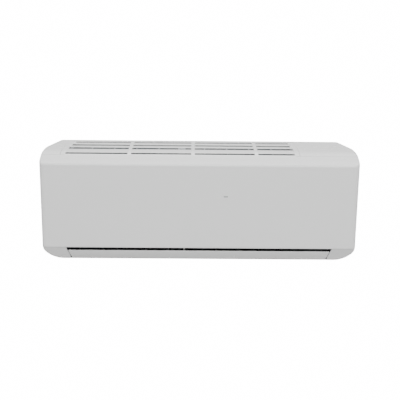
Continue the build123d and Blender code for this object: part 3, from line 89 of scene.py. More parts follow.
class Bench:
    """The hand tools. Each one picks its object first, and leaves object mode behind it."""

    @staticmethod
    def pick(obj: bpy.types.Object) -> None:
        """Makes an object the only selected one, and the active one.

        Args:
            obj: The object to work on.
        """
        bpy.ops.object.select_all(action="DESELECT")
        obj.select_set(True)
        bpy.context.view_layer.objects.active = obj

    @staticmethod
    def added(name: str) -> bpy.types.Object:
        """Names the primitive that was just added and puts its place into its mesh.

        Args:
            name: The object's name.

        Returns:
            The primitive's object.
        """
        obj = bpy.context.object
        obj.name = name
        obj.data.name = name
        bpy.ops.object.transform_apply(location=True, rotation=True, scale=True)
        return obj

    @staticmethod
    def box(name: str, low: Point, high: Point) -> bpy.types.Object:
        """A box between two corners, each (x, depth, height).

        Args:
            name: The object's name.
            low: The corner with the least x, depth and height.
            high: The corner with the most.

        Returns:
            The box.
        """
        centre = [(a + b) / 2 for a, b in zip(low, high)]
        spans = [abs(b - a) for a, b in zip(low, high)]
        bpy.ops.mesh.primitive_cube_add(
            size=MM,
            location=(centre[0] * MM, -centre[1] * MM, centre[2] * MM),
            scale=(spans[0], spans[1], spans[2]),
        )
        return Bench.added(name)

    @staticmethod
    def rod(name: str, pair: Pair, radius: float, x0: float, x1: float,
            sides: int = ROUND_SIDES) -> bpy.types.Object:
        """A cylinder along X.

        Args:
            name: The object's name.
            pair: Its axis, as (depth, height).
            radius: Its radius.
            x0: Its left end.
            x1: Its right end.
            sides: How many sides it has.

        Returns:
            The cylinder.
        """
        bpy.ops.mesh.primitive_cylinder_add(
            vertices=sides,
            radius=radius * MM,
            depth=(x1 - x0) * MM,
            location=((x0 + x1) / 2 * MM, -pair[0] * MM, pair[1] * MM),
            rotation=(0, math.pi / 2, 0),
        )
        return Bench.added(name)

    @staticmethod
    def post(name: str, x: float, z: float, radius: float, d0: float, d1: float) -> bpy.types.Object:
        """A cylinder along the depth.

        Args:
            name: The object's name.
            x: Its axis across.
            z: Its axis's height.
            radius: Its radius.
            d0: Its end nearer the wall.
            d1: Its other end.

        Returns:
            The cylinder.
        """
        bpy.ops.mesh.primitive_cylinder_add(
            vertices=ROUND_SIDES,
            radius=radius * MM,
            depth=(d1 - d0) * MM,
            location=(x * MM, -(d0 + d1) / 2 * MM, z * MM),
            rotation=(math.pi / 2, 0, 0),
        )
        return Bench.added(name)

    @staticmethod
    def prism(name: str, points: Sequence[Point], along: Point) -> bpy.types.Object:
        """A closed outline, swept straight.

        Args:
            name: The object's name.
            points: The outline's corners, each (x, depth, height), in order.
            along: The sweep, as (x, depth, height).

        Returns:
            The prism.
        """
        bpy.ops.mesh.primitive_circle_add(vertices=len(points), radius=MM, fill_type="NGON")
        obj = Bench.added(name)
        for vertex, (x, d, z) in zip(obj.data.vertices, points):
            vertex.co = (x * MM, -d * MM, z * MM)
        bpy.ops.object.mode_set(mode="EDIT")
        bpy.ops.mesh.select_all(action="SELECT")
        sweep = (along[0] * MM, -along[1] * MM, along[2] * MM)
        bpy.ops.mesh.extrude_region_move(TRANSFORM_OT_translate={"value": sweep})
        bpy.ops.object.mode_set(mode="OBJECT")
        return Bench.face_out(obj)

    @staticmethod
    def face_out(obj: bpy.types.Object) -> bpy.types.Object:
        """Turns every face of a closed mesh outwards.

        Args:
            obj: The object to turn.

        Returns:
            The same object.
        """
        Bench.pick(obj)
        bpy.ops.object.mode_set(mode="EDIT")
        bpy.ops.mesh.select_all(action="SELECT")
        bpy.ops.mesh.normals_make_consistent(inside=False)
        bpy.ops.object.mode_set(mode="OBJECT")
        return obj

    @staticmethod
    def unmark(obj: bpy.types.Object) -> bpy.types.Mesh:
        """Picks an object and deselects all of its mesh.

        Args:
            obj: The object to pick.

        Returns:
            Its mesh.
        """
        Bench.pick(obj)
        mesh = obj.data
        for item in (*mesh.vertices, *mesh.edges, *mesh.polygons):
            item.select = False
        return mesh

    @staticmethod
    def strip(name: str, pairs: Sequence[Pair], x0: float, x1: float) -> bpy.types.Object:
        """A prism along X over a section of (depth, height) pairs."""
        return Bench.prism(name, [(x0, d, z) for d, z in pairs], (x1 - x0, 0.0, 0.0))

    @staticmethod
    def cut(obj: bpy.types.Object, at: Point, normal: Point, keep: Side) -> bpy.types.Object:
        """Cuts a mesh with a plane and throws one side away.

        Args:
            obj: The object to cut.
            at: A point of the plane, as (x, depth, height).
            normal: The plane's normal, as (x, depth, height).
            keep: The side that stays.

        Returns:
            The same object.
        """
        Bench.pick(obj)
        bpy.ops.object.mode_set(mode="EDIT")
        bpy.ops.mesh.select_all(action="SELECT")
        bpy.ops.mesh.bisect(
            plane_co=(at[0] * MM, -at[1] * MM, at[2] * MM),
            plane_no=(normal[0], -normal[1], normal[2]),
            clear_inner=keep is Side.AHEAD,
            clear_outer=keep is Side.BEHIND,
            threshold=SAME_PLACE,
        )
        bpy.ops.object.mode_set(mode="OBJECT")
        return obj

    @staticmethod
    def modify(obj: bpy.types.Object, kind: str, **settings: Any) -> bpy.types.Object:
        """Adds a modifier and applies it.

        Args:
            obj: The object to change.
            kind: The modifier's type.
            **settings: Its settings.

        Returns:
            The same object.
        """
        Bench.pick(obj)
        modifier = obj.modifiers.new(kind.title(), kind)
        for key, value in settings.items():
            setattr(modifier, key, value)
        bpy.ops.object.modifier_apply(modifier=modifier.name)
        return obj

    @staticmethod
    def carve(obj: bpy.types.Object, *tools: bpy.types.Object) -> bpy.types.Object:
        """Takes other solids out of an object, and deletes them.

        Args:
            obj: The object to carve.
            *tools: The solids to take out.

        Returns:
            The same object.
        """
        for tool in tools:
            Bench.modify(obj, "BOOLEAN", operation="DIFFERENCE", solver="EXACT", object=tool)
            bpy.data.objects.remove(tool)
        return obj

    @staticmethod
    def fuse(name: str, pieces: Sequence[bpy.types.Object]) -> bpy.types.Object:
        """Makes one object of several, each still its own shell.

        Args:
            name: The new object's name.
            pieces: The objects, of which the first stays.

        Returns:
            The joined object.
        """
        bpy.ops.object.select_all(action="DESELECT")
        for piece in pieces:
            piece.select_set(True)
        bpy.context.view_layer.objects.active = pieces[0]
        bpy.ops.object.join()
        pieces[0].name = name
        pieces[0].data.name = name
        return pieces[0]

    @staticmethod
    def ease(obj: bpy.types.Object, width: float, segments: int = 2,
             angle: float = SHARP) -> bpy.types.Object:
        """Rounds the sharp edges and shades the rest smooth.

        Args:
            obj: The object to finish.
            width: The rounding's width.
            segments: How many steps it has.
            angle: Edges turned by more than this many degrees count as sharp.

        Returns:
            The same object.
        """
        Bench.modify(
            obj,
            "BEVEL",
            width=width * MM,
            segments=segments,
            limit_method="ANGLE",
            angle_limit=math.radians(angle),
            use_clamp_overlap=True,
            miter_outer="MITER_ARC",
        )
        bpy.ops.object.shade_smooth_by_angle(angle=math.radians(angle))
        return obj


def arc(a: Pair, m: Pair, b: Pair, steps: int) -> list[Pair]:
    """Points on the circle through three pairs, from the first up to but without the last.

    Args:
        a: The first pair.
        m: A pair between them.
        b: The last pair.
        steps: How many points.

    Returns:
        The points.
    """
    ax, ay, bx, by, cx, cy = *a, *m, *b
    scale = 2 * (ax * (by - cy) + bx * (cy - ay) + cx * (ay - by))
    squares = [x * x + y * y for x, y in (a, m, b)]
    ux = (squares[0] * (by - cy) + squares[1] * (cy - ay) + squares[2] * (ay - by)) / scale
    uy = (squares[0] * (cx - bx) + squares[1] * (ax - cx) + squares[2] * (bx - ax)) / scale
    start = math.atan2(ay - uy, ax - ux)
    turn = math.remainder(math.atan2(cy - uy, cx - ux) - start, math.tau)
    radius = math.hypot(ax - ux, ay - uy)
    angles = [start + turn * i / steps for i in range(steps)]
    return [(ux + radius * math.cos(t), uy + radius * math.sin(t)) for t in angles]


def line(a: Pair, b: Pair, steps: int) -> list[Pair]:
    """Points on a straight run, from the first pair up to but without the last."""
    run, rise = b[0] - a[0], b[1] - a[1]
    return [(a[0] + run * i / steps, a[1] + rise * i / steps) for i in range(steps)]


def soft_least(values: Sequence[float], blend: float) -> float:
    """The least of some lengths, rounded where two of them are nearly equal.

    Args:
        values: The lengths.
        blend: How far apart two lengths may be and still blend.

    Returns:
        The blended least length.
    """
    best = values[0]
    for value in values[1:]:
        near = max(blend - abs(best - value), 0.0) / blend
        best = min(best, value) - near * near * blend / 4
    return best


def retreat(across: float, half: float, radius: float) -> float:
    """How far a surface falls back at a place across, under a round edge at its end."""
    over = min(across - (half - radius), radius)
    return 0.0 if over <= 0 else radius - math.sqrt(radius * radius - over * over)


# ---------------------------------------------------------------- outer form
@dataclass
class OuterForm:
    """The unit's outer surface: one cross section, wrapped round the ends."""

    width: float = 805.0
    height: float = 290.0
    depth: float = 196.0
    corner_low: float = 50.0
    corner_top: float = 10.0
    corner_plan: float = 16.0
    edge: float = 6.0
    shoulder_width: float = 28.5
    shoulder_drop: float = 20.0
    shoulder_length: float = 125.0
    crown_drop: float = 2.7
    roll_start: float = 66.0
    roll_middle: Pair = (35.0, 9.0)
    roll_end: Pair = (6.0, 23.5)
    nose_drop: float = 33.0
    bulge: float = 1.0
    fall: float = 2.0
    chin_rise: float = 43.5
    chin_run: float = 37.0
    crease: float = 6.5
    heel: Pair = (3.0, 2.5)
    nose: Pair = (0.6, 0.75)
    bend: Pair = (1.2, 2.0)
    blend: float = 5.0
    top_from: float = 100.0
    least_facing: float = 0.2
    least_way: float = 0.05
    far: float = 1e4
    steps: tuple[int, ...] = (14, 26, 8, 34, 5, 12, 4, 12)
    turn_steps: int = 18
    flat_steps: int = 14

    @property
    def half(self) -> float:
        """Half of the width."""
        return self.width / 2

    @property
    def top(self) -> float:
        """The height of the top over the middle."""
        return self.height / 2

    @property
    def chin_top(self) -> Pair:
        """The upper end of the sloping underside."""
        return (self.depth - self.roll_end[0], -self.top + self.chin_rise)

    @property
    def chin_low(self) -> Pair:
        """The lower end of the sloping underside."""
        return (self.chin_top[0] - self.chin_run, -self.top + self.heel[1])

    def outline(self) -> list[Pair]:
        """The cross section from the wall over the top, down the face and back to the wall.

        Returns:
            The section's points, in order.
        """
        top, deep, steps = self.top, self.depth, self.steps
        start = (deep - self.roll_start, top - self.crown_drop)
        roll = (deep - self.roll_middle[0], top - self.roll_middle[1])
        end = (deep - self.roll_end[0], top - self.roll_end[1])
        brow = (deep - self.bulge, top - self.nose_drop)
        nose = (deep - self.bulge - self.nose[0], (end[1] + brow[1]) / 2 + self.nose[1])
        low = (deep - self.fall, self.chin_top[1] + self.crease)
        bend = (deep - self.fall - self.bend[0], self.chin_top[1] + self.bend[1])
        heel = (self.chin_low[0] - self.heel[0], -top)
        turn = ((self.chin_low[0] + heel[0]) / 2, -top + self.heel[1] / 3)
        return [
            *arc((0.0, top), (start[0] / 2, top - self.crown_drop / 4), start, steps[0]),
            *arc(start, roll, end, steps[1]),
            *arc(end, nose, brow, steps[2]),
            *arc(brow, (deep, (brow[1] + low[1]) / 2), low, steps[3]),
            *arc(low, bend, self.chin_top, steps[4]),
            *line(self.chin_top, self.chin_low, steps[5]),
            *arc(self.chin_low, turn, heel, steps[6]),
            *line(heel, (0.0, -top), steps[7]),
            (0.0, -top),
        ]

    def normals(self, outline: Sequence[Pair]) -> list[Pair]:
        """The section's outward unit normals at its points.

        Args:
            outline: The section's points, in order.

        Returns:
            One normal for each point.
        """
        found = []
        for i in range(len(outline)):
            a, b = outline[max(i - 1, 0)], outline[min(i + 1, len(outline) - 1)]
            run, rise = b[0] - a[0], b[1] - a[1]
            length = math.hypot(run, rise)
            found.append((-rise / length, run / length))
        return found

    def top_line(self, inset: float) -> list[Pair]:
        """The part of the cross section that makes the top.

        Args:
            inset: How far it is moved inwards.

        Returns:
            Its points, from the wall forwards.
        """
        outline = self.outline()
        both = zip(outline, self.normals(outline))
        moved = [(p[0] - n[0] * inset, p[1] - n[1] * inset) for p, n in both]
        return [pair for pair in moved if pair[1] > self.top_from]

    def reach(self, pair: Pair, normal: Pair, across: float, inset: float) -> float:
        """How far the surface lies from the middle of the wall face, in one direction of one cross section.

        Args:
            pair: The outline's point in that direction.
            normal: The outline's normal there.
            across: How far the cross section lies from the middle of the width.
            inset: How far the whole surface is moved inwards.

        Returns:
            The distance.
        """
        length = math.hypot(*pair)
        way = (pair[0] / length, pair[1] / length)
        half = self.half - inset
        facing = normal[0] * way[0] + normal[1] * way[1]
        lengths = [length - (inset + retreat(across, half, self.edge)) / max(facing, self.least_facing)]
        if way[0] > self.least_way:
            lengths.append((self.depth - inset - retreat(across, half, self.corner_plan)) / way[0])
        if way[1] > self.least_way:
            lengths.append((self.top - inset - retreat(across, half, self.corner_top)) / way[1])
            lengths.append(self.shoulder(way, across, inset))
        if way[1] < -self.least_way:
            lengths.append((self.top - inset - retreat(across, half, self.corner_low)) / -way[1])
        return soft_least(lengths, self.blend)

    def shoulder(self, way: Pair, across: float, inset: float) -> float:
        """How far the sloping facet of a back corner lies, in one direction of one cross section.

        Args:
            way: The unit direction.
            across: How far the cross section lies from the middle of the width.
            inset: How far the facet is moved inwards.

        Returns:
            The distance.
        """
        a = Vector((self.half - self.shoulder_width, 0.0, self.top))
        b = Vector((self.half, 0.0, self.top - self.shoulder_drop))
        c = Vector((self.half, self.shoulder_length, self.top))
        normal = (c - a).cross(b - a).normalized()
        if normal.z < 0:
            normal = -normal
        facing = normal.y * way[0] + normal.z * way[1]
        if facing <= self.least_way:
            return self.far
        return (normal.dot(a) - inset - normal.x * across) / facing

    def stations(self, inset: float) -> list[float]:
        """The places across at which the surface gets a ring of points.

        Args:
            inset: How far the surface is moved inwards.

        Returns:
            The places, from left to right.
        """
        half, radius = self.half - inset, self.corner_low
        quarter = [math.pi / 2 * i / self.turn_steps for i in range(self.turn_steps + 1)]
        turns = [half - radius + radius * math.sin(angle) for angle in quarter]
        flat = [(half - radius) * i / self.flat_steps for i in range(self.flat_steps)]
        right = flat + turns
        return [-x for x in reversed(right[1:])] + right

    def wrap(self, name: str, inset: float = 0.0) -> bpy.types.Object:
        """The outer surface as one open sheet with closed ends, facing outwards.

        Args:
            name: The object's name.
            inset: How far it is moved inwards.

        Returns:
            The sheet.
        """
        outline = self.outline()
        normals = self.normals(outline)
        stations = self.stations(inset)
        rings, ways = len(stations) - 1, len(outline) - 1
        bpy.ops.mesh.primitive_grid_add(x_subdivisions=rings, y_subdivisions=ways, size=2)
        obj = Bench.added(name)
        for vertex in obj.data.vertices:
            x = stations[round((vertex.co.x + 1) / 2 * rings)]
            k = round((vertex.co.y + 1) / 2 * ways)
            pair = outline[k]
            share = self.reach(pair, normals[k], abs(x), inset) / math.hypot(*pair)
            vertex.co = (x * MM, -pair[0] * share * MM, pair[1] * share * MM)
        self.close_ends(obj, (self.half - inset) * MM)
        return Bench.face_out(obj)

    @staticmethod
    def close_ends(obj: bpy.types.Object, half: float) -> None:
        """Closes the two ends of a wrapped sheet with a flat face each.

        Args:
            obj: The sheet.
            half: How far each end lies from the middle, in metres.
        """
        for side in (-half, half):
            mesh = Bench.unmark(obj)
            bpy.context.tool_settings.mesh_select_mode = (True, False, False)
            for vertex in mesh.vertices:
                vertex.select = abs(vertex.co.x - side) < SAME_PLACE
            bpy.ops.object.mode_set(mode="EDIT")
            bpy.ops.mesh.edge_face_add()
            bpy.ops.object.mode_set(mode="OBJECT")


# ---------------------------------------------------------------- front casing
@dataclass
class Casing:
    """The casing behind the seam: skin, front frame with its window, ledge and hinge cradles."""

    form: OuterForm
    skin: float = 2.5
    seam: float = 160.3
    lip: float = 163.2
    lip_sweep: float = 4.04
    grille_left: float = -352.5
    grille_right: float = 253.0
    grille_back: float = 12.0
    grille_rim: float = 12.0
    grille_corner: float = 14.0
    grille_gap: float = 0.8
    notch_back: float = 149.5
    notch_top: float = -100.0
    notch_half: Pair = (339.8, 330.3)
    notch_gap: float = 1.6
    widened: Pair = (335.2, -132.0)
    pipe_exit: tuple[float, float, float, float] = (-370.5, 41.0, -140.5, -103.0)
    frame_in: float = 5.5
    frame_t: float = 2.5
    ring: Pair = (150.0, 153.0)
    window: tuple[float, float, float, float] = (-346.0, 252.0, -80.0, 112.0)
    frame_low: float = -96.0
    button_deep: float = 20.0
    ring_margin: float = 2.0
    ring_side: tuple[Pair, ...] = (
        (0.0, -96.0), (0.0, 124.0), (6.0, 133.0), (8.0, 131.0), (6.5, 120.0), (6.5, -96.0),
    )
    ring_bar: tuple[Pair, Pair] = ((129.5, 136.0), (128.5, 135.0))
    ring_reach: float = 396.0
    ledge_under: float = 2.5
    ledge_t: float = 2.0
    ledge_back: Pair = (6.0, 24.0)
    ledge_side: Pair = (5.0, 6.0)
    hinge: Pair = (164.0, 131.6)
    hinge_stations: tuple[float, ...] = (-330.0, -110.0, 110.0, 330.0)
    ear: float = 5.0
    ear_room: Point = (1.0, 5.0, 14.0)
    cradle: tuple[Pair, ...] = ((-4.2, -0.2), (4.2, -1.9), (5.0, -7.0), (-5.0, -3.8))
    cradle_along: Pair = (4.1, 6.7)
    pin_space: float = 1.85
    pin_along: float = 8.0
    button: Point = (335.0, 60.0, 5.3)
    screws: tuple[float, ...] = (-300.0, 0.0, 300.0)
    screw_d: float = 118.0
    screw_hole: float = 4.2
    screw_deep: float = 6.0

    def grille_block(self, grow: float) -> bpy.types.Object:
        """A rounded upright block round the inlet grille.

        Args:
            grow: How far it stands outside the grille.

        Returns:
            The block.
        """
        low = (self.grille_left - grow, self.grille_back - grow, self.form.top / 2)
        high = (self.grille_right + grow, self.seam + 40.0, self.form.top + 5.0)
        block = Bench.box("grille_block", low, high)
        back = -(self.grille_back - grow) * MM
        mesh = Bench.unmark(block)
        bpy.context.tool_settings.mesh_select_mode = (False, True, False)
        for edge in mesh.edges:
            a, b = (mesh.vertices[i].co for i in edge.vertices)
            upright = abs(a.z - b.z) > 10 * MM
            edge.select = upright and abs(a.y - back) < 10 * SAME_PLACE
        bpy.ops.object.mode_set(mode="EDIT")
        bpy.ops.mesh.bevel(offset=self.grille_corner * MM, segments=10, affect="EDGES")
        bpy.ops.object.mode_set(mode="OBJECT")
        return block

    def notch_block(self, grow: float) -> bpy.types.Object:
        """The space of the louver flap between the lower corners.

        Args:
            grow: How far it stands outside the flap at its ends.

        Returns:
            The block.
        """
        top, low = self.notch_top, -self.form.top - 1.0
        wide, narrow = (value + grow for value in self.notch_half)
        points = [(-wide, self.notch_back, top), (wide, self.notch_back, top),
                  (narrow, self.notch_back, low), (-narrow, self.notch_back, low)]
        return Bench.prism("notch_block", points, (0.0, 100.0, 0.0))

    def lip_space(self) -> bpy.types.Object:
        """The round space that the front panel's lip passes through when the panel swings up."""
        end = self.form.half + 1.0
        return Bench.rod("lip_space", self.hinge, self.lip_sweep, -end, end, 2 * ROUND_SIDES)

    def make_skin(self) -> bpy.types.Object:
        """The outer wall behind the seam, with its grille opening and screw holes.

        Returns:
            The wall.
        """
        skin = self.form.wrap("casing_skin")
        Bench.cut(skin, (0.0, self.lip, 0.0), (0.0, 1.0, 0.0), Side.BEHIND)
        Bench.modify(skin, "SOLIDIFY", thickness=self.skin * MM, offset=-1.0, use_even_offset=True)
        end, low = self.form.half + 2.0, -self.form.top - 1.0
        wide, wide_top = self.widened
        exit_in, exit_front, exit_low, exit_high = self.pipe_exit
        tools = [
            Bench.box("seam_space", (-end, self.seam, low), (end, self.lip + 1.0, self.hinge[1])),
            self.lip_space(),
            self.grille_block(self.grille_gap),
            self.notch_block(self.notch_gap),
            Bench.box("widened_corner", (-wide, self.notch_back, low), (wide, self.seam + 1.0, wide_top)),
            Bench.box("pipe_exit", (-end, -1.0, exit_low), (exit_in, exit_front, exit_high)),
        ]
        for x in self.screws:
            bpy.ops.mesh.primitive_cylinder_add(
                vertices=ROUND_SIDES,
                radius=self.screw_hole * MM,
                depth=self.screw_deep * MM,
                location=(x * MM, -self.screw_d * MM, -self.form.top * MM),
            )
            tools.append(Bench.added("screw_hole"))
        return Bench.ease(Bench.carve(skin, *tools), 0.35)

    def make_frame(self) -> bpy.types.Object:
        """The inner frame behind the front panel, with the window over the filters.

        Returns:
            The frame.
        """
        deep = self.form.depth
        frame = self.form.wrap("front_frame", self.frame_in)
        Bench.cut(frame, (0.0, self.ring[0], 0.0), (0.0, 1.0, 0.0), Side.AHEAD)
        Bench.cut(frame, (0.0, 0.0, self.frame_low), (0.0, 0.0, 1.0), Side.AHEAD)
        Bench.modify(frame, "SOLIDIFY", thickness=self.frame_t * MM, offset=-1.0, use_even_offset=True)
        x0, x1, z0, z1 = self.window
        bx, bz, br = self.button
        tools = [
            Bench.box("window_block", (x0, self.ring[1], z0), (x1, deep, z1)),
            Bench.post("button_hole", bx, bz, br, deep - self.button_deep, deep),
        ]
        d, z = self.hinge
        beside, behind, below = self.ear_room
        for x in self.hinge_stations:
            low = (x - self.ear / 2 - beside, d - behind, z - below)
            tools.append(Bench.box("ear_slot", low, (x + self.ear / 2 + beside, deep, self.form.top)))
        return Bench.ease(Bench.carve(frame, *tools), 0.4)

    def make_ring(self) -> list[bpy.types.Object]:
        """The ring that carries the frame, open over the grille.

        Returns:
            Its two sides and the two bars at its top.
        """
        d0, d1 = self.ring
        half = self.form.half - self.ring_margin
        pieces = []
        for side in (-1, 1):
            outline = [(side * (half - run), d0, z) for run, z in self.ring_side]
            pieces.append(Bench.prism("ring_side", outline, (0.0, d1 - d0, 0.0)))
        (low0, high0), (low1, high1) = self.ring_bar
        section = [(d0, low0), (d0, high0), (d1, high1), (d1, low1)]
        inner = (self.grille_left + self.grille_rim, self.grille_right - self.grille_rim)
        for x0, x1 in ((-self.ring_reach, inner[0]), (inner[1], self.ring_reach)):
            pieces.append(Bench.strip("ring_top", section, x0, x1))
        return pieces

    def make_ledge(self) -> list[bpy.types.Object]:
        """The ledge under three sides of the grille.

        Returns:
            Its two sides and its back.
        """
        first, last = self.ledge_back
        band = [pair for pair in self.form.top_line(self.ledge_under) if first < pair[0] < self.ring[0]]
        rear = [pair for pair in band if pair[0] < last]
        out, inward = self.ledge_side
        left, right = self.grille_left, self.grille_right
        runs = (
            ("ledge_side", band, left - out, left + inward),
            ("ledge_side", band, right - inward, right + out),
            ("ledge_back", rear, left - out, right + out),
        )
        pieces = []
        for name, upper, x0, x1 in runs:
            under = [(d, z - self.ledge_t) for d, z in reversed(upper)]
            pieces.append(Bench.strip(name, upper + under, x0, x1))
        return pieces

    def make_cradles(self) -> list[bpy.types.Object]:
        """The hollow blocks that the panel's hinge pins lie in.

        Returns:
            The blocks, from left to right.
        """
        d, z = self.hinge
        section = [(d + run, z + rise) for run, rise in self.cradle]
        start, end = self.cradle_along
        pieces = []
        for x in self.hinge_stations:
            cradle = Bench.strip("hinge_cradle", section, x + start, x + end)
            space = Bench.rod("pin_space", self.hinge, self.pin_space, x, x + self.pin_along)
            pieces.append(Bench.carve(cradle, space))
        return pieces

    def build(self) -> bpy.types.Object:
        """Makes the whole casing, which stands for its solid.

        Returns:
            The casing.
        """
        shells = [self.make_skin(), self.make_frame()]
        inner = [*self.make_ring(), *self.make_ledge(), *self.make_cradles()]
        for piece in inner:
            Bench.ease(piece, 0.3, 1)
        casing = Bench.fuse("front_casing_shell", [*shells, *inner])
        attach(casing, "chassis")
        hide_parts("front_casing")
        return casing


# ---------------------------------------------------------------- front panel
@dataclass
class FrontPanel:
    """The whole face with its rolled top and rounded ends, on four hinge ears."""

    form: OuterForm
    casing: Casing
    skin: float = 2.5
    seam: float = 161.3
    lip_low: float = 126.6
    ear_shape: tuple[Pair, ...] = (
        (-2.0, -1.8), (2.0, -3.0), (16.0, -12.5), (17.0, -4.0), (2.0, 1.8), (-0.6, 2.2),
    )
    ear_pin: float = 1.8
    ear_pin_length: float = 5.0
    window: tuple[float, float, float, float] = (66.0, 37.0, 11.0, 3.2)
    light: Point = (50.5, 37.0, 1.3)
    light_gap: float = 0.05
    hole_ends: Pair = (8.0, 2.0)
    catches: tuple[float, ...] = (-250.0, 250.0)
    catch_half: float = 5.0
    catch_deep: Pair = (5.4, 3.5)
    catch_rise: Pair = (6.0, 14.0)
    feet: tuple[float, ...] = (-16.0, 4.0)
    foot_half: float = 1.5
    foot_deep: Pair = (4.4, 2.5)
    foot_drop: Pair = (8.0, 5.0)

    def make_shell(self) -> bpy.types.Object:
        """The moulded wall of the panel.

        Returns:
            The wall.
        """
        shell = self.form.wrap("panel_shell")
        Bench.cut(shell, (0.0, self.seam, 0.0), (0.0, 1.0, 0.0), Side.AHEAD)
        Bench.modify(shell, "SOLIDIFY", thickness=self.skin * MM, offset=-1.0, use_even_offset=True)
        half, top = self.form.half + 5.0, self.form.top
        d0, d1 = self.form.depth - self.hole_ends[0], self.form.depth + self.hole_ends[1]
        x, z, wide, high = self.window
        slot = Bench.box("window_slot", (x - wide / 2, d0, z - high / 2), (x + wide / 2, d1, z + high / 2))
        Bench.modify(slot, "BEVEL", width=(high / 2 - 0.1) * MM, segments=5, limit_method="ANGLE",
                     use_clamp_overlap=True)
        light_x, light_z, radius = self.light
        tools = [
            self.casing.notch_block(self.casing.notch_gap),
            Bench.box("lip_block", (-half, self.seam - 5.0, self.lip_low), (half, self.casing.lip, top)),
            slot,
            Bench.post("light_hole", light_x, light_z, radius + self.light_gap, d0, d1),
        ]
        return Bench.ease(Bench.carve(shell, *tools), 0.4)

    def make_ear(self, x: float) -> bpy.types.Object:
        """One hinge ear, with its pin to the right.

        Args:
            x: The place of its middle.

        Returns:
            The ear.
        """
        d, z = self.casing.hinge
        section = [(d + run, z + rise) for run, rise in self.ear_shape]
        half = self.casing.ear / 2
        ear = Bench.ease(Bench.strip("hinge_ear", section, x - half, x + half), 0.4)
        pin = Bench.rod("hinge_pin", (d, z), self.ear_pin, x, x + half + self.ear_pin_length)
        return Bench.fuse("hinge_ear", [ear, Bench.ease(pin, 0.25)])

    def make_clips(self) -> list[bpy.types.Object]:
        """The two catches at the lower edge and the two feet of the display board.

        Returns:
            The catches, then the feet.
        """
        deep, edge = self.form.depth, self.casing.notch_top
        board_x, board_z = self.window[:2]
        clips = []
        for x in self.catches:
            low = (x - self.catch_half, deep - self.catch_deep[0], edge + self.catch_rise[0])
            high = (x + self.catch_half, deep - self.catch_deep[1], edge + self.catch_rise[1])
            clips.append(Bench.box("catch", low, high))
        for run in self.feet:
            x = board_x + run
            low = (x - self.foot_half, deep - self.foot_deep[0], board_z - self.foot_drop[0])
            high = (x + self.foot_half, deep - self.foot_deep[1], board_z - self.foot_drop[1])
            clips.append(Bench.box("board_foot", low, high))
        return [Bench.ease(clip, 0.3) for clip in clips]

    def build(self) -> bpy.types.Object:
        """Makes the whole panel, which stands for its solid.

        Returns:
            The panel.
        """
        ears = [self.make_ear(x) for x in self.casing.hinge_stations]
        panel = Bench.fuse("front_panel_shell", [self.make_shell(), *ears, *self.make_clips()])
        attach(panel, "panel")
        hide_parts("front_panel")
        return panel


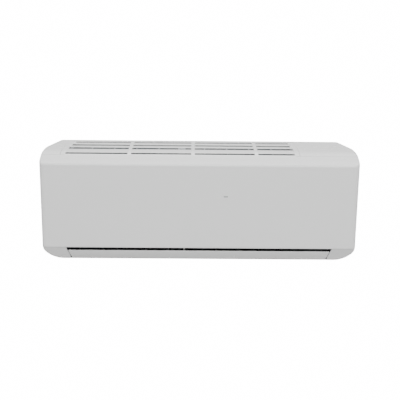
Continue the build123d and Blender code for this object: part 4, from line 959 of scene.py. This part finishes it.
# ---------------------------------------------------------------- inlet grille
@dataclass
class InletGrille:
    """The top inlet: a rounded rim let into the casing, sunk slats, three cross ribs and a front lip."""

    form: OuterForm
    casing: Casing
    thick: float = 2.5
    sunk: float = 1.0
    left: float = -340.5
    right: float = 241.0
    centres: tuple[float, ...] = (33.0, 70.0, 107.0, 153.2)
    widths: tuple[float, ...] = (16.0, 18.0, 19.0, 11.6)
    shorter: tuple[Pair, ...] = ((11.0, 5.0), (6.0, 4.0), (3.0, 0.0), (0.0, 0.0))
    ribs: tuple[float, ...] = (-179.0, -17.5, 144.0)
    rib_width: float = 9.0
    rib_sunk: float = 0.2
    rib_deep: float = 7.0
    rib_shallow: float = 2.3
    slat_front: float = 1.0
    slat_taper: float = 10.0
    fill_sunk: float = 0.05
    least_fill: float = 2.0
    lip_width: float = 3.6
    lip_rise: float = 0.35
    lip_flat: float = 2.4
    lip_root: float = 1.0
    lip_foot: float = 0.1

    @property
    def back(self) -> float:
        """The rearmost edge of the slots."""
        return self.centres[0] - self.widths[0] / 2

    @property
    def front(self) -> float:
        """The foremost edge of the slots."""
        return self.centres[-1] + self.widths[-1] / 2

    def layer(self, inset: float, d0: float, d1: float) -> list[Pair]:
        """The line of the top at one distance under the outer surface, between two depths.

        Args:
            inset: The distance.
            d0: The end nearer the wall.
            d1: The other end.

        Returns:
            The line's points.
        """
        points = self.form.top_line(inset)
        inner = [pair for pair in points if d0 + 0.5 < pair[0] < d1 - 0.5]
        return [self.crossing(points, d0), *inner, self.crossing(points, d1)]

    def band(self, d0: float, d1: float, t0: float, t1: float) -> list[Pair]:
        """The section of a layer of the top between two depths.

        Args:
            d0: Its end nearer the wall.
            d1: Its other end.
            t0: How far its upper face lies under the outer surface.
            t1: How far its lower face does.

        Returns:
            The section's corners, in order.
        """
        return self.layer(t0, d0, d1) + self.layer(t1, d0, d1)[::-1]

    def slat_section(self, d0: float, d1: float) -> list[Pair]:
        """The section of one slat, which thins towards its front edge.

        Args:
            d0: Its edge nearer the wall.
            d1: Its front edge.

        Returns:
            The section's corners, in order.
        """
        upper = self.layer(self.sunk, d0, d1)
        gain = (self.thick - self.slat_front) / self.slat_taper
        lower = [(d, z - min(self.slat_front + gain * (d1 - d), self.thick)) for d, z in reversed(upper)]
        return upper + lower

    @staticmethod
    def crossing(points: Sequence[Pair], depth: float) -> Pair:
        """The point of a line at one depth.

        Args:
            points: The line's points, from the wall forwards.
            depth: The depth.

        Returns:
            The point.
        """
        for a, b in zip(points, points[1:]):
            if a[0] <= depth <= b[0]:
                share = (depth - a[0]) / (b[0] - a[0])
                return (depth, a[1] + (b[1] - a[1]) * share)
        return points[-1] if depth > points[-1][0] else (depth, points[0][1])

    def make_rim(self) -> bpy.types.Object:
        """The rim round the slots, up to the seam of the front panel.

        Returns:
            The rim.
        """
        section = self.band(self.casing.grille_back - 2, self.casing.lip, 0.0, self.thick)
        rim = Bench.strip("grille_rim", section, self.casing.grille_left - 2, self.casing.grille_right + 2)
        block = self.casing.grille_block(0.0)
        Bench.modify(rim, "BOOLEAN", operation="INTERSECT", solver="EXACT", object=block)
        bpy.data.objects.remove(block)
        low = (self.left, self.back, self.form.top_from - 10.0)
        window = Bench.box("slot_window", low, (self.right, self.front, self.form.top + 55.0))
        Bench.modify(window, "BEVEL", width=2.0 * MM, segments=3, limit_method="ANGLE")
        return Bench.ease(Bench.carve(rim, window, self.casing.lip_space()), 0.5, 3)

    def make_rib(self, x: float) -> list[bpy.types.Object]:
        """One cross rib, deep over the coil and shallow over the casing's ring.

        Args:
            x: The place of its middle.

        Returns:
            Its deep part and its shallow one.
        """
        half = self.rib_width / 2
        meet = self.casing.ring[0] - 0.5
        sections = {
            "rib": self.band(self.back - 1, meet, self.rib_sunk, self.rib_deep),
            "rib_end": self.band(meet - 1, self.front + 1, self.rib_sunk, self.rib_shallow),
        }
        strips = [Bench.strip(name, section, x - half, x + half) for name, section in sections.items()]
        return [Bench.ease(strip, 0.8, 3, 50.0) for strip in strips]

    def make_lip(self) -> bpy.types.Object:
        """The raised edge in front of the slots.

        Returns:
            The lip.
        """
        outline = self.form.outline()
        front, high = self.crossing(outline, self.front)
        brow, level = self.crossing(outline, self.front + self.lip_flat)
        foot, low = self.crossing(outline, self.front + self.lip_width)
        section = [
            (front, high - self.lip_root),
            (front, high + self.lip_rise),
            (brow, level + self.lip_rise),
            (foot, low - self.lip_foot),
            (foot, low - self.lip_root),
        ]
        return Bench.ease(Bench.strip("front_lip", section, self.left, self.right), 0.3, 3, 15.0)

    def make_trim(self) -> bpy.types.Object:
        """Makes the cross ribs and the lip, which get a lighter white as a painted highlight for the light
        their edges catch.

        Returns:
            The ribs and the lip as one piece.
        """
        ribs = [piece for x in self.ribs for piece in self.make_rib(x)]
        trim = Bench.fuse("inlet_grille_trim", [*ribs, self.make_lip()])
        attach(trim, "chassis")
        return trim

    def make_slats(self) -> list[bpy.types.Object]:
        """The slats between the slots.

        Returns:
            The slats, from the wall forwards.
        """
        edges = [(at - width / 2, at + width / 2) for at, width in zip(self.centres, self.widths)]
        slats = []
        for (_, d0), (d1, _) in zip(edges, edges[1:]):
            slat = Bench.strip("slat", self.slat_section(d0, d1), self.left - 1, self.right + 1)
            slats.append(Bench.ease(slat, 0.4, 2, 50.0))
        return slats

    def make_fills(self) -> list[bpy.types.Object]:
        """The fills at the ends of the shorter slots.

        Returns:
            The fills.
        """
        fills = []
        for centre, width, (left, right) in zip(self.centres, self.widths, self.shorter):
            reach = width / 2 + 1
            for x0, x1 in ((self.left - 1, self.left + left), (self.right - right, self.right + 1)):
                if x1 - x0 > self.least_fill:
                    section = self.band(centre - reach, centre + reach, self.fill_sunk, self.thick)
                    fills.append(Bench.ease(Bench.strip("slot_end", section, x0, x1), 0.6, 3, 50.0))
        return fills

    def build(self) -> bpy.types.Object:
        """Makes the rim, the slats and the fills, which stand for the grille's solid.

        Returns:
            The grille.
        """
        pieces = [self.make_rim(), *self.make_slats(), *self.make_fills()]
        grille = Bench.fuse("inlet_grille_shell", pieces)
        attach(grille, "chassis")
        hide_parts("inlet_grille")
        return grille


# ---------------------------------------------------------------- louver flap
@dataclass
class LouverFlap:
    """The flap that closes the outlet, with three ears and its pins."""

    form: OuterForm
    slot_along: float = 15.5
    low_margin: float = 3.0
    thick: float = 3.0
    crown: float = 0.9
    crown_steps: int = 14
    half_top: float = 339.5
    end_slope: float = 0.2073
    axis: Pair = (152.0, -129.0)
    pin: float = 2.4
    left_pin: float = 4.1
    middle_pin: float = 5.0
    ear: float = 5.0
    ear_thick: float = 3.0
    ear_sides: int = 40
    ear_root: float = 0.5
    ear_foot: Pair = (9.0, 2.0)
    ears: Point = (-331.0, -45.0, 327.0)
    shaft_space: Pair = (1.0, 4.0)

    def face(self) -> tuple[Pair, Pair, Pair]:
        """The line of the flap's face.

        Returns:
            Its upper end, its lower end, and the unit direction from the lower one up.
        """
        top, low = self.form.chin_top, self.form.chin_low
        run, rise = top[0] - low[0], top[1] - low[1]
        length = math.hypot(run, rise)
        u = (run / length, rise / length)
        upper = (top[0] - u[0] * self.slot_along, top[1] - u[1] * self.slot_along)
        lower = (low[0] + u[0] * self.low_margin, low[1] + u[1] * self.low_margin)
        return upper, lower, u

    def make_blade(self) -> bpy.types.Object:
        """The flap itself: its face is slightly crowned and its ends slope.

        Returns:
            The blade.
        """
        upper, lower, u = self.face()
        inward = (-u[1], u[0])

        def place(share: float, deep: float) -> Pair:
            """The place at a share of the way up the face and a distance behind it."""
            d = lower[0] + (upper[0] - lower[0]) * share + inward[0] * deep
            return (d, lower[1] + (upper[1] - lower[1]) * share + inward[1] * deep)

        shares = [i / self.crown_steps for i in range(self.crown_steps + 1)]
        outside = [place(share, -self.crown * 4 * share * (1 - share)) for share in shares]
        section = [*outside, place(1.0, self.thick), place(0.0, self.thick)]
        blade = Bench.strip("flap_blade", section, -self.half_top, self.half_top)
        for vertex in blade.data.vertices:
            half = self.half_top + self.end_slope * (vertex.co.z / MM - self.form.chin_top[1])
            vertex.co.x = math.copysign(half * MM, vertex.co.x)
        return Bench.ease(blade, 1.2, 4)

    def make_ear(self, x: float) -> bpy.types.Object:
        """One ear from the flap's back to its axis.

        Args:
            x: Its left side.

        Returns:
            The ear.
        """
        _, lower, u = self.face()
        out = (u[1], -u[0])
        d, z = self.axis
        reach = (d - lower[0]) * out[0] + (z - lower[1]) * out[1]
        sink = reach + self.thick - self.ear_root
        foot = (d - out[0] * sink, z - out[1] * sink)
        r, (above, below) = self.ear, self.ear_foot
        section = [
            (d + u[0] * r, z + u[1] * r),
            (foot[0] + u[0] * above, foot[1] + u[1] * above),
            (foot[0] - u[0] * below, foot[1] - u[1] * below),
            (d - u[0] * r, z - u[1] * r),
        ]
        web = Bench.strip("ear_web", section, x, x + self.ear_thick)
        boss = Bench.rod("ear_boss", self.axis, r, x, x + self.ear_thick, self.ear_sides)
        Bench.modify(web, "BOOLEAN", operation="UNION", solver="EXACT", object=boss)
        bpy.data.objects.remove(boss)
        return Bench.ease(web, 0.4)

    def build(self) -> bpy.types.Object:
        """Makes the whole flap, which stands for its solid.

        Returns:
            The flap.
        """
        ears = [self.make_ear(x) for x in self.ears]
        left, middle, right = self.ears
        before, past = self.shaft_space
        Bench.carve(ears[2], Bench.rod("shaft_space", self.axis, self.pin, right - before, right + past))
        middle_end = middle + self.ear_thick + self.middle_pin
        pins = [
            Bench.rod("left_pin", self.axis, self.pin, -self.half_top - self.left_pin, left + 1),
            Bench.rod("middle_pin", self.axis, self.pin, middle + 1, middle_end),
        ]
        pins = [Bench.ease(pin, 0.3) for pin in pins]
        flap = Bench.fuse("louver_flap_shell", [self.make_blade(), *ears, *pins])
        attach(flap, "louver")
        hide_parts("louver_flap")
        return flap


# ---------------------------------------------------------------- shader maths
class Wire:
    """A socket of a material that Python's operators work on, each adding its Math node."""

    def __init__(self, recipe: Recipe, socket: bpy.types.NodeSocket) -> None:
        """Keeps the socket and the recipe that its nodes go in."""
        self.recipe = recipe
        self.socket = socket

    def maths(self, operation: str, *values: Wire | float) -> Wire:
        """Adds a Math node.

        Args:
            operation: The node's operation.
            *values: Its inputs, in order.

        Returns:
            The node's result.
        """
        return self.recipe.node("ShaderNodeMath", {"operation": operation}, dict(enumerate(values)))

    def __add__(self, other: Wire | float) -> Wire:
        """This plus another value."""
        return self.maths("ADD", self, other)

    __radd__ = __add__

    def __sub__(self, other: Wire | float) -> Wire:
        """This less another value."""
        return self.maths("SUBTRACT", self, other)

    def __rsub__(self, other: float) -> Wire:
        """A number less this."""
        return self.maths("SUBTRACT", other, self)

    def __mul__(self, other: Wire | float) -> Wire:
        """This times another value."""
        return self.maths("MULTIPLY", self, other)

    __rmul__ = __mul__

    def __gt__(self, other: Wire | float) -> Wire:
        """One where this is the greater, and nought elsewhere."""
        return self.maths("GREATER_THAN", self, other)

    def __lt__(self, other: Wire | float) -> Wire:
        """One where this is the less, and nought elsewhere."""
        return self.maths("LESS_THAN", self, other)

    def wave(self, pitch: float) -> Wire:
        """A wave from nought to one over a length, each pitch once."""
        return self.maths("COSINE", self * (math.tau / pitch)) * 0.5 + 0.5

    def most(self, other: Wire | float) -> Wire:
        """The greater of this and another value."""
        return self.maths("MAXIMUM", self, other)

    def held(self) -> Wire:
        """This, kept between nought and one."""
        return self.maths("MINIMUM", self.maths("MAXIMUM", self, 0.0), 1.0)


class Recipe:
    """A material's nodes, with short ways to add them."""

    def __init__(self, name: str) -> None:
        """Starts an empty material.

        Args:
            name: The material's name.
        """
        self.material = bpy.data.materials.new(name)
        self.material.use_nodes = True
        self.tree = self.material.node_tree
        self.tree.nodes.clear()

    def node(self, kind: str, settings: dict[str, Any], inputs: dict[Any, Any],
             output: int | str = 0) -> Wire:
        """Adds any node.

        Args:
            kind: The node's type.
            settings: Its settings, among them a colour ramp's two stops as (place, colour) pairs.
            inputs: What its sockets hold, by name or number: a wire, a number or a colour.
            output: The output that is wanted.

        Returns:
            That output.
        """
        made = self.tree.nodes.new(kind)
        for key, value in settings.items():
            if key == "stops":
                for stop, (place, colour) in zip(made.color_ramp.elements, value):
                    stop.position = place
                    stop.color = (*colour, 1.0)
            else:
                setattr(made, key, value)
        for key, value in inputs.items():
            if isinstance(value, Wire):
                self.tree.links.new(value.socket, made.inputs[key])
            else:
                made.inputs[key].default_value = value
        return Wire(self, made.outputs[output])

    def place(self, stretch: Point = (1.0, 1.0, 1.0)) -> Wire:
        """The place on the object in metres, stretched along its axes.

        Args:
            stretch: The factor along each axis.

        Returns:
            The place.
        """
        at = self.node("ShaderNodeTexCoord", {}, {}, "Object")
        return self.node("ShaderNodeMapping", {}, {"Vector": at, "Scale": stretch})

    def axes(self) -> tuple[Wire, Wire, Wire]:
        """The place on the object in metres.

        Returns:
            Its three parts.
        """
        at = self.node("ShaderNodeTexCoord", {}, {}, "Object")
        parts = [self.node("ShaderNodeSeparateXYZ", {}, {"Vector": at}, part) for part in "XYZ"]
        return parts[0], parts[1], parts[2]

    def noise(self, size: float, detail: float = 2.0, stretch: Point = (1.0, 1.0, 1.0)) -> Wire:
        """Cloudy noise from nought to one.

        Args:
            size: The clouds' size in metres.
            detail: How many finer layers it has.
            stretch: How much closer it is along each axis.

        Returns:
            The noise.
        """
        inputs = {"Vector": self.place(stretch), "Scale": 1.0 / size, "Detail": detail}
        return self.node("ShaderNodeTexNoise", {}, inputs, 0)

    def cells(self, size: float) -> Wire:
        """The distance to the middle of the nearest of many cells, whose size is in metres."""
        inputs = {"Vector": self.place(), "Scale": 1.0 / size}
        return self.node("ShaderNodeTexVoronoi", {"feature": "F1"}, inputs, "Distance")

    def blots(self, size: float, detail: float, level: float, gain: float) -> Wire:
        """Soft patches with bare ground between them.

        Args:
            size: The patches' size in metres.
            detail: How many finer layers they have.
            level: The noise at which a patch begins.
            gain: How fast it rises from there.

        Returns:
            The patches, from nought to one.
        """
        return ((self.noise(size, detail) - level) * gain).held()

    def tint(self, share: Wire, low: Colour, high: Colour) -> Wire:
        """A colour between two, by a share from nought to one."""
        return self.node("ShaderNodeValToRGB", {"stops": ((0.0, low), (1.0, high))}, {0: share})

    def mix(self, share: Wire, low: Wire, high: Colour) -> Wire:
        """A colour between one that changes over the surface and one that doesn't."""
        inputs = {0: share, 6: low, 7: (*high, 1.0)}
        return self.node("ShaderNodeMix", {"data_type": "RGBA"}, inputs, 2)

    def grade(self, share: Wire, colour: Colour, low: float, high: float) -> Wire:
        """One colour, darkened or lightened by a share between two factors."""
        return self.tint(share, shade(colour, low), shade(colour, high))

    def relief(self, height: Wire, depth: float) -> Wire:
        """A bumpy normal.

        Args:
            height: The relief, from nought to one.
            depth: Its depth in metres.

        Returns:
            The normal.
        """
        return self.node("ShaderNodeBump", {}, {"Strength": 1.0, "Distance": depth, "Height": height})

    def finish(self, **inputs: Any) -> bpy.types.Material:
        """Closes the material with its surface shader.

        Args:
            **inputs: The shader's sockets, with _ for a space in their names.

        Returns:
            The material.
        """
        sockets = {key.replace("_", " "): value for key, value in inputs.items()}
        surface = self.node("ShaderNodeBsdfPrincipled", {}, sockets, "BSDF")
        self.node_output(surface)
        return self.material

    def node_output(self, surface: Wire) -> None:
        """Joins a shader to the material's output."""
        output = self.tree.nodes.new("ShaderNodeOutputMaterial")
        self.tree.links.new(surface.socket, output.inputs["Surface"])


def shade(colour: Colour, factor: float) -> Colour:
    """A colour made lighter or darker by a factor."""
    return tuple(min(part * factor, 1.0) for part in colour)


# ---------------------------------------------------------------- finishes
@dataclass(frozen=True)
class MouldedPlastic:
    """Moulded plastic: a fine skin, slow swells of the wall, faint flow tints and rubbed spots."""

    colour: Colour
    rough: float
    grain: float = 0.000004
    grain_size: float = 0.0006
    swell: float = 0.00002
    swell_size: float = 0.03
    drift: float = 0.012
    drift_size: float = 0.09
    rub: float = 0.35
    rub_size: float = 0.014
    coat: float = 0.0
    coat_rough: float = 0.12

    def make(self, name: str) -> bpy.types.Material:
        """Makes the material.

        Args:
            name: The material's name.

        Returns:
            The material.
        """
        recipe = Recipe(name)
        clouds = recipe.noise(self.drift_size, 3.0)
        rubbed = recipe.noise(self.rub_size, 4.0)
        skin = recipe.noise(self.grain_size, 3.0) * self.grain
        return recipe.finish(
            Base_Color=recipe.grade(clouds, self.colour, 1 - self.drift, 1 + self.drift),
            Roughness=(self.rough + (rubbed - 0.5) * (self.rough * self.rub)).held(),
            Coat_Weight=self.coat,
            Coat_Roughness=self.coat_rough,
            Normal=recipe.relief(skin + recipe.noise(self.swell_size, 1.0) * self.swell, 1.0),
        )


@dataclass(frozen=True)
class SheetMetal:
    """Sheet metal: grain drawn along X, small crystals, dull blotches and fine scratches."""

    colour: Colour
    rough: float = 0.32
    crystals: float = 0.0
    brushed: float = 0.000006
    tarnish: Colour = (0.4, 0.4, 0.42)
    tarnished: float = 0.25

    def make(self, name: str) -> bpy.types.Material:
        """Makes the material.

        Args:
            name: The material's name.

        Returns:
            The material.
        """
        recipe = Recipe(name)
        drawn = recipe.noise(0.0012, 3.0, (0.03, 1.0, 1.0))
        blotches = recipe.blots(0.02, 5.0, 0.5, 4.0) * self.tarnished
        grains = recipe.cells(0.008) * self.crystals
        base = recipe.grade((drawn * 0.7 + grains * 0.6).held(), self.colour, 0.9, 1.06)
        return recipe.finish(
            Base_Color=recipe.mix(blotches, base, self.tarnish),
            Metallic=1.0,
            Roughness=(self.rough + drawn * 0.12 + blotches * 0.3 - grains * 0.1).held(),
            Normal=recipe.relief(drawn, self.brushed),
        )


@dataclass(frozen=True)
class FinPack:
    """A coil's packed fins: thin bright metal edges side by side, with painted shade darkening the gaps
    between them.
    """

    colour: Colour
    pitch: float = 0.0016
    tube_pitch: float = 0.0125
    rough: float = 0.38

    def make(self, name: str) -> bpy.types.Material:
        """Makes the material.

        Args:
            name: The material's name.

        Returns:
            The material.
        """
        recipe = Recipe(name)
        across, deep, high = recipe.axes()
        bent = recipe.noise(0.012, 2.0) * (self.pitch * 0.5)
        edge = (across + bent).wave(self.pitch)
        rows = (deep * 0.5 + high).wave(self.tube_pitch) * 0.12
        share = (edge * (1.05 - rows)).held()
        # Painted shade: between the fins the colour falls to 0.16 of the metal's, and a little lower along
        # the tube rows, standing in for the shade inside the coil.
        return recipe.finish(
            Base_Color=recipe.grade(share, self.colour, 0.16, 1.0),
            Metallic=(0.35 + share * 0.6).held(),
            Roughness=(self.rough + (1 - share) * 0.3).held(),
            Normal=recipe.relief(edge, self.pitch * 0.3),
        )


@dataclass(frozen=True)
class DrawnTube:
    """Copper or brass: rosy metal with brown oxide in soft patches and fine draw lines."""

    colour: Colour
    oxide: Colour
    rough: float = 0.24
    oxidised: float = 0.55

    def make(self, name: str) -> bpy.types.Material:
        """Makes the material.

        Args:
            name: The material's name.

        Returns:
            The material.
        """
        recipe = Recipe(name)
        patches = recipe.blots(0.018, 6.0, 0.42, 3.0) * self.oxidised
        lines = recipe.noise(0.0008, 2.0, (0.08, 1.0, 1.0))
        base = recipe.grade(lines, self.colour, 0.93, 1.05)
        return recipe.finish(
            Base_Color=recipe.mix(patches, base, self.oxide),
            Metallic=1.0,
            Roughness=(self.rough + patches * 0.3 + lines * 0.06).held(),
            Normal=recipe.relief(lines, 0.000004),
        )


@dataclass(frozen=True)
class Rubber:
    """Dull black rubber: a pebbled skin with a pale bloom."""

    colour: Colour
    bloom: Colour = (0.11, 0.11, 0.11)

    def make(self, name: str) -> bpy.types.Material:
        """Makes the material.

        Args:
            name: The material's name.

        Returns:
            The material.
        """
        recipe = Recipe(name)
        bloom = recipe.blots(0.009, 5.0, 0.45, 2.5) * 0.5
        pebbles = recipe.cells(0.0009)
        base = recipe.grade(pebbles, self.colour, 0.8, 1.2)
        return recipe.finish(
            Base_Color=recipe.mix(bloom, base, self.bloom),
            Roughness=(0.72 + bloom * 0.2).held(),
            Specular_IOR_Level=0.35,
            Normal=recipe.relief(pebbles, 0.00006),
        )


@dataclass(frozen=True)
class CircuitBoard:
    """A circuit board: green lacquer over copper tracks, with tinned pads in rows."""

    colour: Colour
    track: Colour = (0.09, 0.36, 0.17)
    tin: Colour = (0.68, 0.69, 0.7)
    track_pitch: float = 0.0031
    row_pitch: float = 0.0042

    def make(self, name: str) -> bpy.types.Material:
        """Makes the material.

        Args:
            name: The material's name.

        Returns:
            The material.
        """
        recipe = Recipe(name)
        _, deep, high = recipe.axes()
        bends = recipe.noise(0.011, 0.0) * 0.006
        tracks = ((deep + bends).wave(self.track_pitch) > 0.62) * (recipe.noise(0.013, 0.0) > 0.47)
        rows = ((high + bends).wave(self.row_pitch) > 0.7) * (recipe.noise(0.016, 0.0) < 0.49)
        lines = tracks.most(rows)
        pads = recipe.cells(self.row_pitch) < 0.12
        base = recipe.tint(lines, self.colour, self.track)
        return recipe.finish(
            Base_Color=recipe.mix(pads, base, self.tin),
            Metallic=pads * 0.9,
            Roughness=(0.3 + recipe.noise(0.004) * 0.12 + pads * 0.1).held(),
            Normal=recipe.relief((lines * 0.5 + pads).held(), 0.00005),
        )


@dataclass(frozen=True)
class FilterWeave:
    """The filter's net: fine threads that cross, with open air between them."""

    colour: Colour
    dust: Colour = (0.3, 0.3, 0.3)
    pitch: float = 0.0014

    def make(self, name: str) -> bpy.types.Material:
        """Makes the material.

        Args:
            name: The material's name.

        Returns:
            The material.
        """
        recipe = Recipe(name)
        across, deep, high = recipe.axes()
        warp = across.wave(self.pitch)
        weft = (high + deep).wave(self.pitch)
        threads = warp.most(weft)
        over = (across * 0.5).wave(self.pitch) * 0.5 + (high * 0.5 + deep * 0.5).wave(self.pitch) * 0.5
        fluff = recipe.blots(0.02, 5.0, 0.5, 2.0) * 0.25
        base = recipe.grade(over, self.colour, 0.7, 1.4)
        return recipe.finish(
            Base_Color=recipe.mix(fluff, base, self.dust),
            Roughness=(0.55 + fluff * 0.3).held(),
            Alpha=(threads > 0.62).most(fluff),
            Normal=recipe.relief((threads * 0.7 + over * 0.3).held(), self.pitch * 0.3),
        )


@dataclass(frozen=True)
class ClearLens:
    """A small moulded lens: smooth, slightly milky, with a bright or a smoky body."""

    colour: Colour
    rough: float = 0.08
    coat: float = 0.5

    def make(self, name: str) -> bpy.types.Material:
        """Makes the material.

        Args:
            name: The material's name.

        Returns:
            The material.
        """
        recipe = Recipe(name)
        depth = recipe.noise(0.004, 2.0)
        return recipe.finish(
            Base_Color=recipe.grade(depth, self.colour, 0.9, 1.08),
            Roughness=(self.rough + recipe.noise(0.002, 3.0) * 0.06).held(),
            Coat_Weight=self.coat,
            Coat_Roughness=0.04,
            Normal=recipe.relief(depth, 0.00002),
        )


Finish = MouldedPlastic | SheetMetal | FinPack | DrawnTube | Rubber | CircuitBoard | FilterWeave | ClearLens

FINISHES: dict[str, Finish] = {
    "casing_white": MouldedPlastic((0.80, 0.805, 0.80), 0.26, coat=0.25),
    "panel_white": MouldedPlastic((0.82, 0.825, 0.82), 0.22, grain=0.000002, coat=0.35),
    "flap_white": MouldedPlastic((0.79, 0.795, 0.79), 0.26, coat=0.25),
    "inner_plastic": MouldedPlastic((0.66, 0.665, 0.66), 0.45, grain=0.00001),
    "duct_plastic": MouldedPlastic((0.035, 0.036, 0.04), 0.5, grain=0.00002, grain_size=0.0009),
    "fan_plastic": MouldedPlastic((0.02, 0.02, 0.022), 0.48, grain=0.00001),
    "filter_frame": MouldedPlastic((0.42, 0.44, 0.47), 0.42, grain=0.00001),
    "filter_mesh": FilterWeave((0.05, 0.055, 0.065)),
    "fin_aluminium": FinPack((0.78, 0.8, 0.82)),
    "copper": DrawnTube((0.78, 0.36, 0.22), (0.30, 0.13, 0.07)),
    "brass": DrawnTube((0.78, 0.58, 0.26), (0.36, 0.25, 0.10), 0.3, 0.3),
    "zinc_steel": SheetMetal((0.62, 0.64, 0.66), 0.38, crystals=0.8),
    "bright_steel": SheetMetal((0.72, 0.72, 0.73), 0.26, tarnished=0.12),
    "motor_can": MouldedPlastic((0.085, 0.088, 0.092), 0.36, grain=0.00002, coat=0.15),
    "black_rubber": Rubber((0.018, 0.018, 0.018)),
    "board_green": CircuitBoard((0.012, 0.085, 0.035)),
    "component_black": MouldedPlastic((0.022, 0.022, 0.024), 0.34, grain=0.00002),
    "shaft_plastic": MouldedPlastic((0.74, 0.74, 0.72), 0.4),
    # Painted highlight: a lighter, glossier copy of the grille white for the ribs and the lip, standing in
    # for the light they catch.
    "trim_white": MouldedPlastic((0.95, 0.955, 0.95), 0.2, coat=1.0),
    "window_grey": ClearLens((0.38, 0.385, 0.39)),
    "light_lens": ClearLens((0.9, 0.91, 0.92)),
}


# ---------------------------------------------------------------- studio
@dataclass(frozen=True)
class SoftBox:
    """A soft rectangular lamp. Its places are in metres and its power in watts."""

    name: str
    at: Point
    aim: Point
    size: Pair
    power: float

    def hang(self) -> bpy.types.Object:
        """Hangs the lamp up, turned to its aim.

        Returns:
            The lamp.
        """
        turn = (Vector(self.aim) - Vector(self.at)).to_track_quat("-Z", "Y").to_euler()
        bpy.ops.object.light_add(type="AREA", location=self.at, rotation=turn)
        lamp = bpy.context.object
        lamp.name = self.name
        lamp.data.shape = "RECTANGLE"
        lamp.data.size, lamp.data.size_y = self.size
        lamp.data.energy = self.power
        return lamp


@dataclass
class Studio:
    """The pale floor, the soft lights and the camera. Places are in metres and angles in degrees."""

    floor_height: float = -0.62
    floor_span: float = 600.0
    floor_colour: Colour = (0.42, 0.42, 0.42)
    floor_glow: float = 16.0
    world_light: float = 1.0
    camera_at: Point = (-0.016, -2.157, 0.537)
    pitch: float = 14.54
    yaw: float = 0.5
    roll: float = 0.57
    lens: float = 72.4
    sensor: float = 36.0
    lamps: tuple[SoftBox, ...] = (
        SoftBox("top_box", (0.0, -0.5, 2.2), (0.0, -0.1, 0.0), (2.6, 1.6), 44.0),
        SoftBox("front_box", (0.3, -2.6, 0.9), (0.0, -0.1, -0.1), (2.2, 1.2), 38.0),
        SoftBox("back_box", (0.0, 1.4, 1.75), (0.0, -0.1, 0.14), (2.8, 0.9), 8.0),
    )

    def make_floor(self) -> bpy.types.Object:
        """The floor, far larger than the view. The camera sees it glow, and the lamps see it grey.

        Returns:
            The floor.
        """
        bpy.ops.mesh.primitive_plane_add(size=self.floor_span, location=(0.0, 0.0, self.floor_height))
        floor = Bench.added("studio_floor")
        recipe = Recipe("studio_floor_paint")
        tint = recipe.grade(recipe.noise(0.8, 2.0), self.floor_colour, 0.995, 1.005)
        seen = recipe.node("ShaderNodeLightPath", {}, {}, "Is Camera Ray")
        matt = recipe.node("ShaderNodeBsdfPrincipled", {}, {"Base Color": tint, "Roughness": 0.9}, "BSDF")
        glow = recipe.node("ShaderNodeEmission", {}, {"Strength": self.floor_glow}, "Emission")
        recipe.node_output(recipe.node("ShaderNodeMixShader", {}, {0: seen, 1: matt, 2: glow}, "Shader"))
        floor.data.materials.append(recipe.material)
        return floor

    def make_world(self) -> None:
        """The even light of the white room round the unit."""
        world = bpy.data.worlds.new("studio_world")
        world.use_nodes = True
        background = world.node_tree.nodes["Background"]
        background.inputs["Color"].default_value = (1.0, 1.0, 1.0, 1.0)
        background.inputs["Strength"].default_value = self.world_light
        bpy.context.scene.world = world

    def make_camera(self) -> bpy.types.Object:
        """The camera, in front of the unit, slightly above and tilted a little.

        Returns:
            The camera.
        """
        turn = (
            Quaternion((0, 0, 1), -math.radians(self.yaw))
            @ Quaternion((1, 0, 0), math.radians(90 - self.pitch))
            @ Quaternion((0, 0, 1), math.radians(self.roll))
        )
        bpy.ops.object.camera_add(location=self.camera_at, rotation=turn.to_euler())
        camera = bpy.context.object
        camera.name = "studio_camera"
        camera.data.lens = self.lens
        camera.data.sensor_width = self.sensor
        camera.data.clip_end = self.floor_span
        bpy.context.scene.camera = camera
        return camera

    def build(self) -> None:
        """Makes the floor, the lamps, the world and the camera."""
        self.make_floor()
        for lamp in self.lamps:
            lamp.hang()
        self.make_world()
        self.make_camera()


# ---------------------------------------------------------------- the whole unit
def dress(nodes: dict[str, bpy.types.Object], record: dict[str, Any]) -> dict[str, bpy.types.Material]:
    """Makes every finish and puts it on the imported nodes.

    Args:
        nodes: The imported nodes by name.
        record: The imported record, which names each node's finish.

    Returns:
        The materials by their slot's name.
    """
    materials = {slot: finish.make(slot + "_finish") for slot, finish in FINISHES.items()}
    for part in record["subparts"]:
        paint(nodes[part["node"]], materials[part["material_slot"]])
    return materials


def paint(obj: bpy.types.Object, material: bpy.types.Material) -> None:
    """Gives an object one material all over."""
    obj.data.materials.clear()
    obj.data.materials.append(material)


def main() -> None:
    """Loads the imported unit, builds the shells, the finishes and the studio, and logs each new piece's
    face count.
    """
    logging.basicConfig(level=logging.INFO, format="%(name)s: %(message)s")
    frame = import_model()
    materials = dress(frame["nodes"], frame["record"])
    form = OuterForm()
    casing = Casing(form)
    grille = InletGrille(form, casing)
    pieces = {
        "casing_white": [casing.build(), grille.build()],
        # The ribs and the lip get the lighter white of the painted highlight.
        "trim_white": [grille.make_trim()],
        "panel_white": [FrontPanel(form, casing).build()],
        "flap_white": [LouverFlap(form).build()],
    }
    for slot, made in pieces.items():
        for piece in made:
            paint(piece, materials[slot])
            log.info("%s: %d faces", piece.name, len(piece.data.polygons))
    Studio().build()


if __name__ == "__main__":
    main()
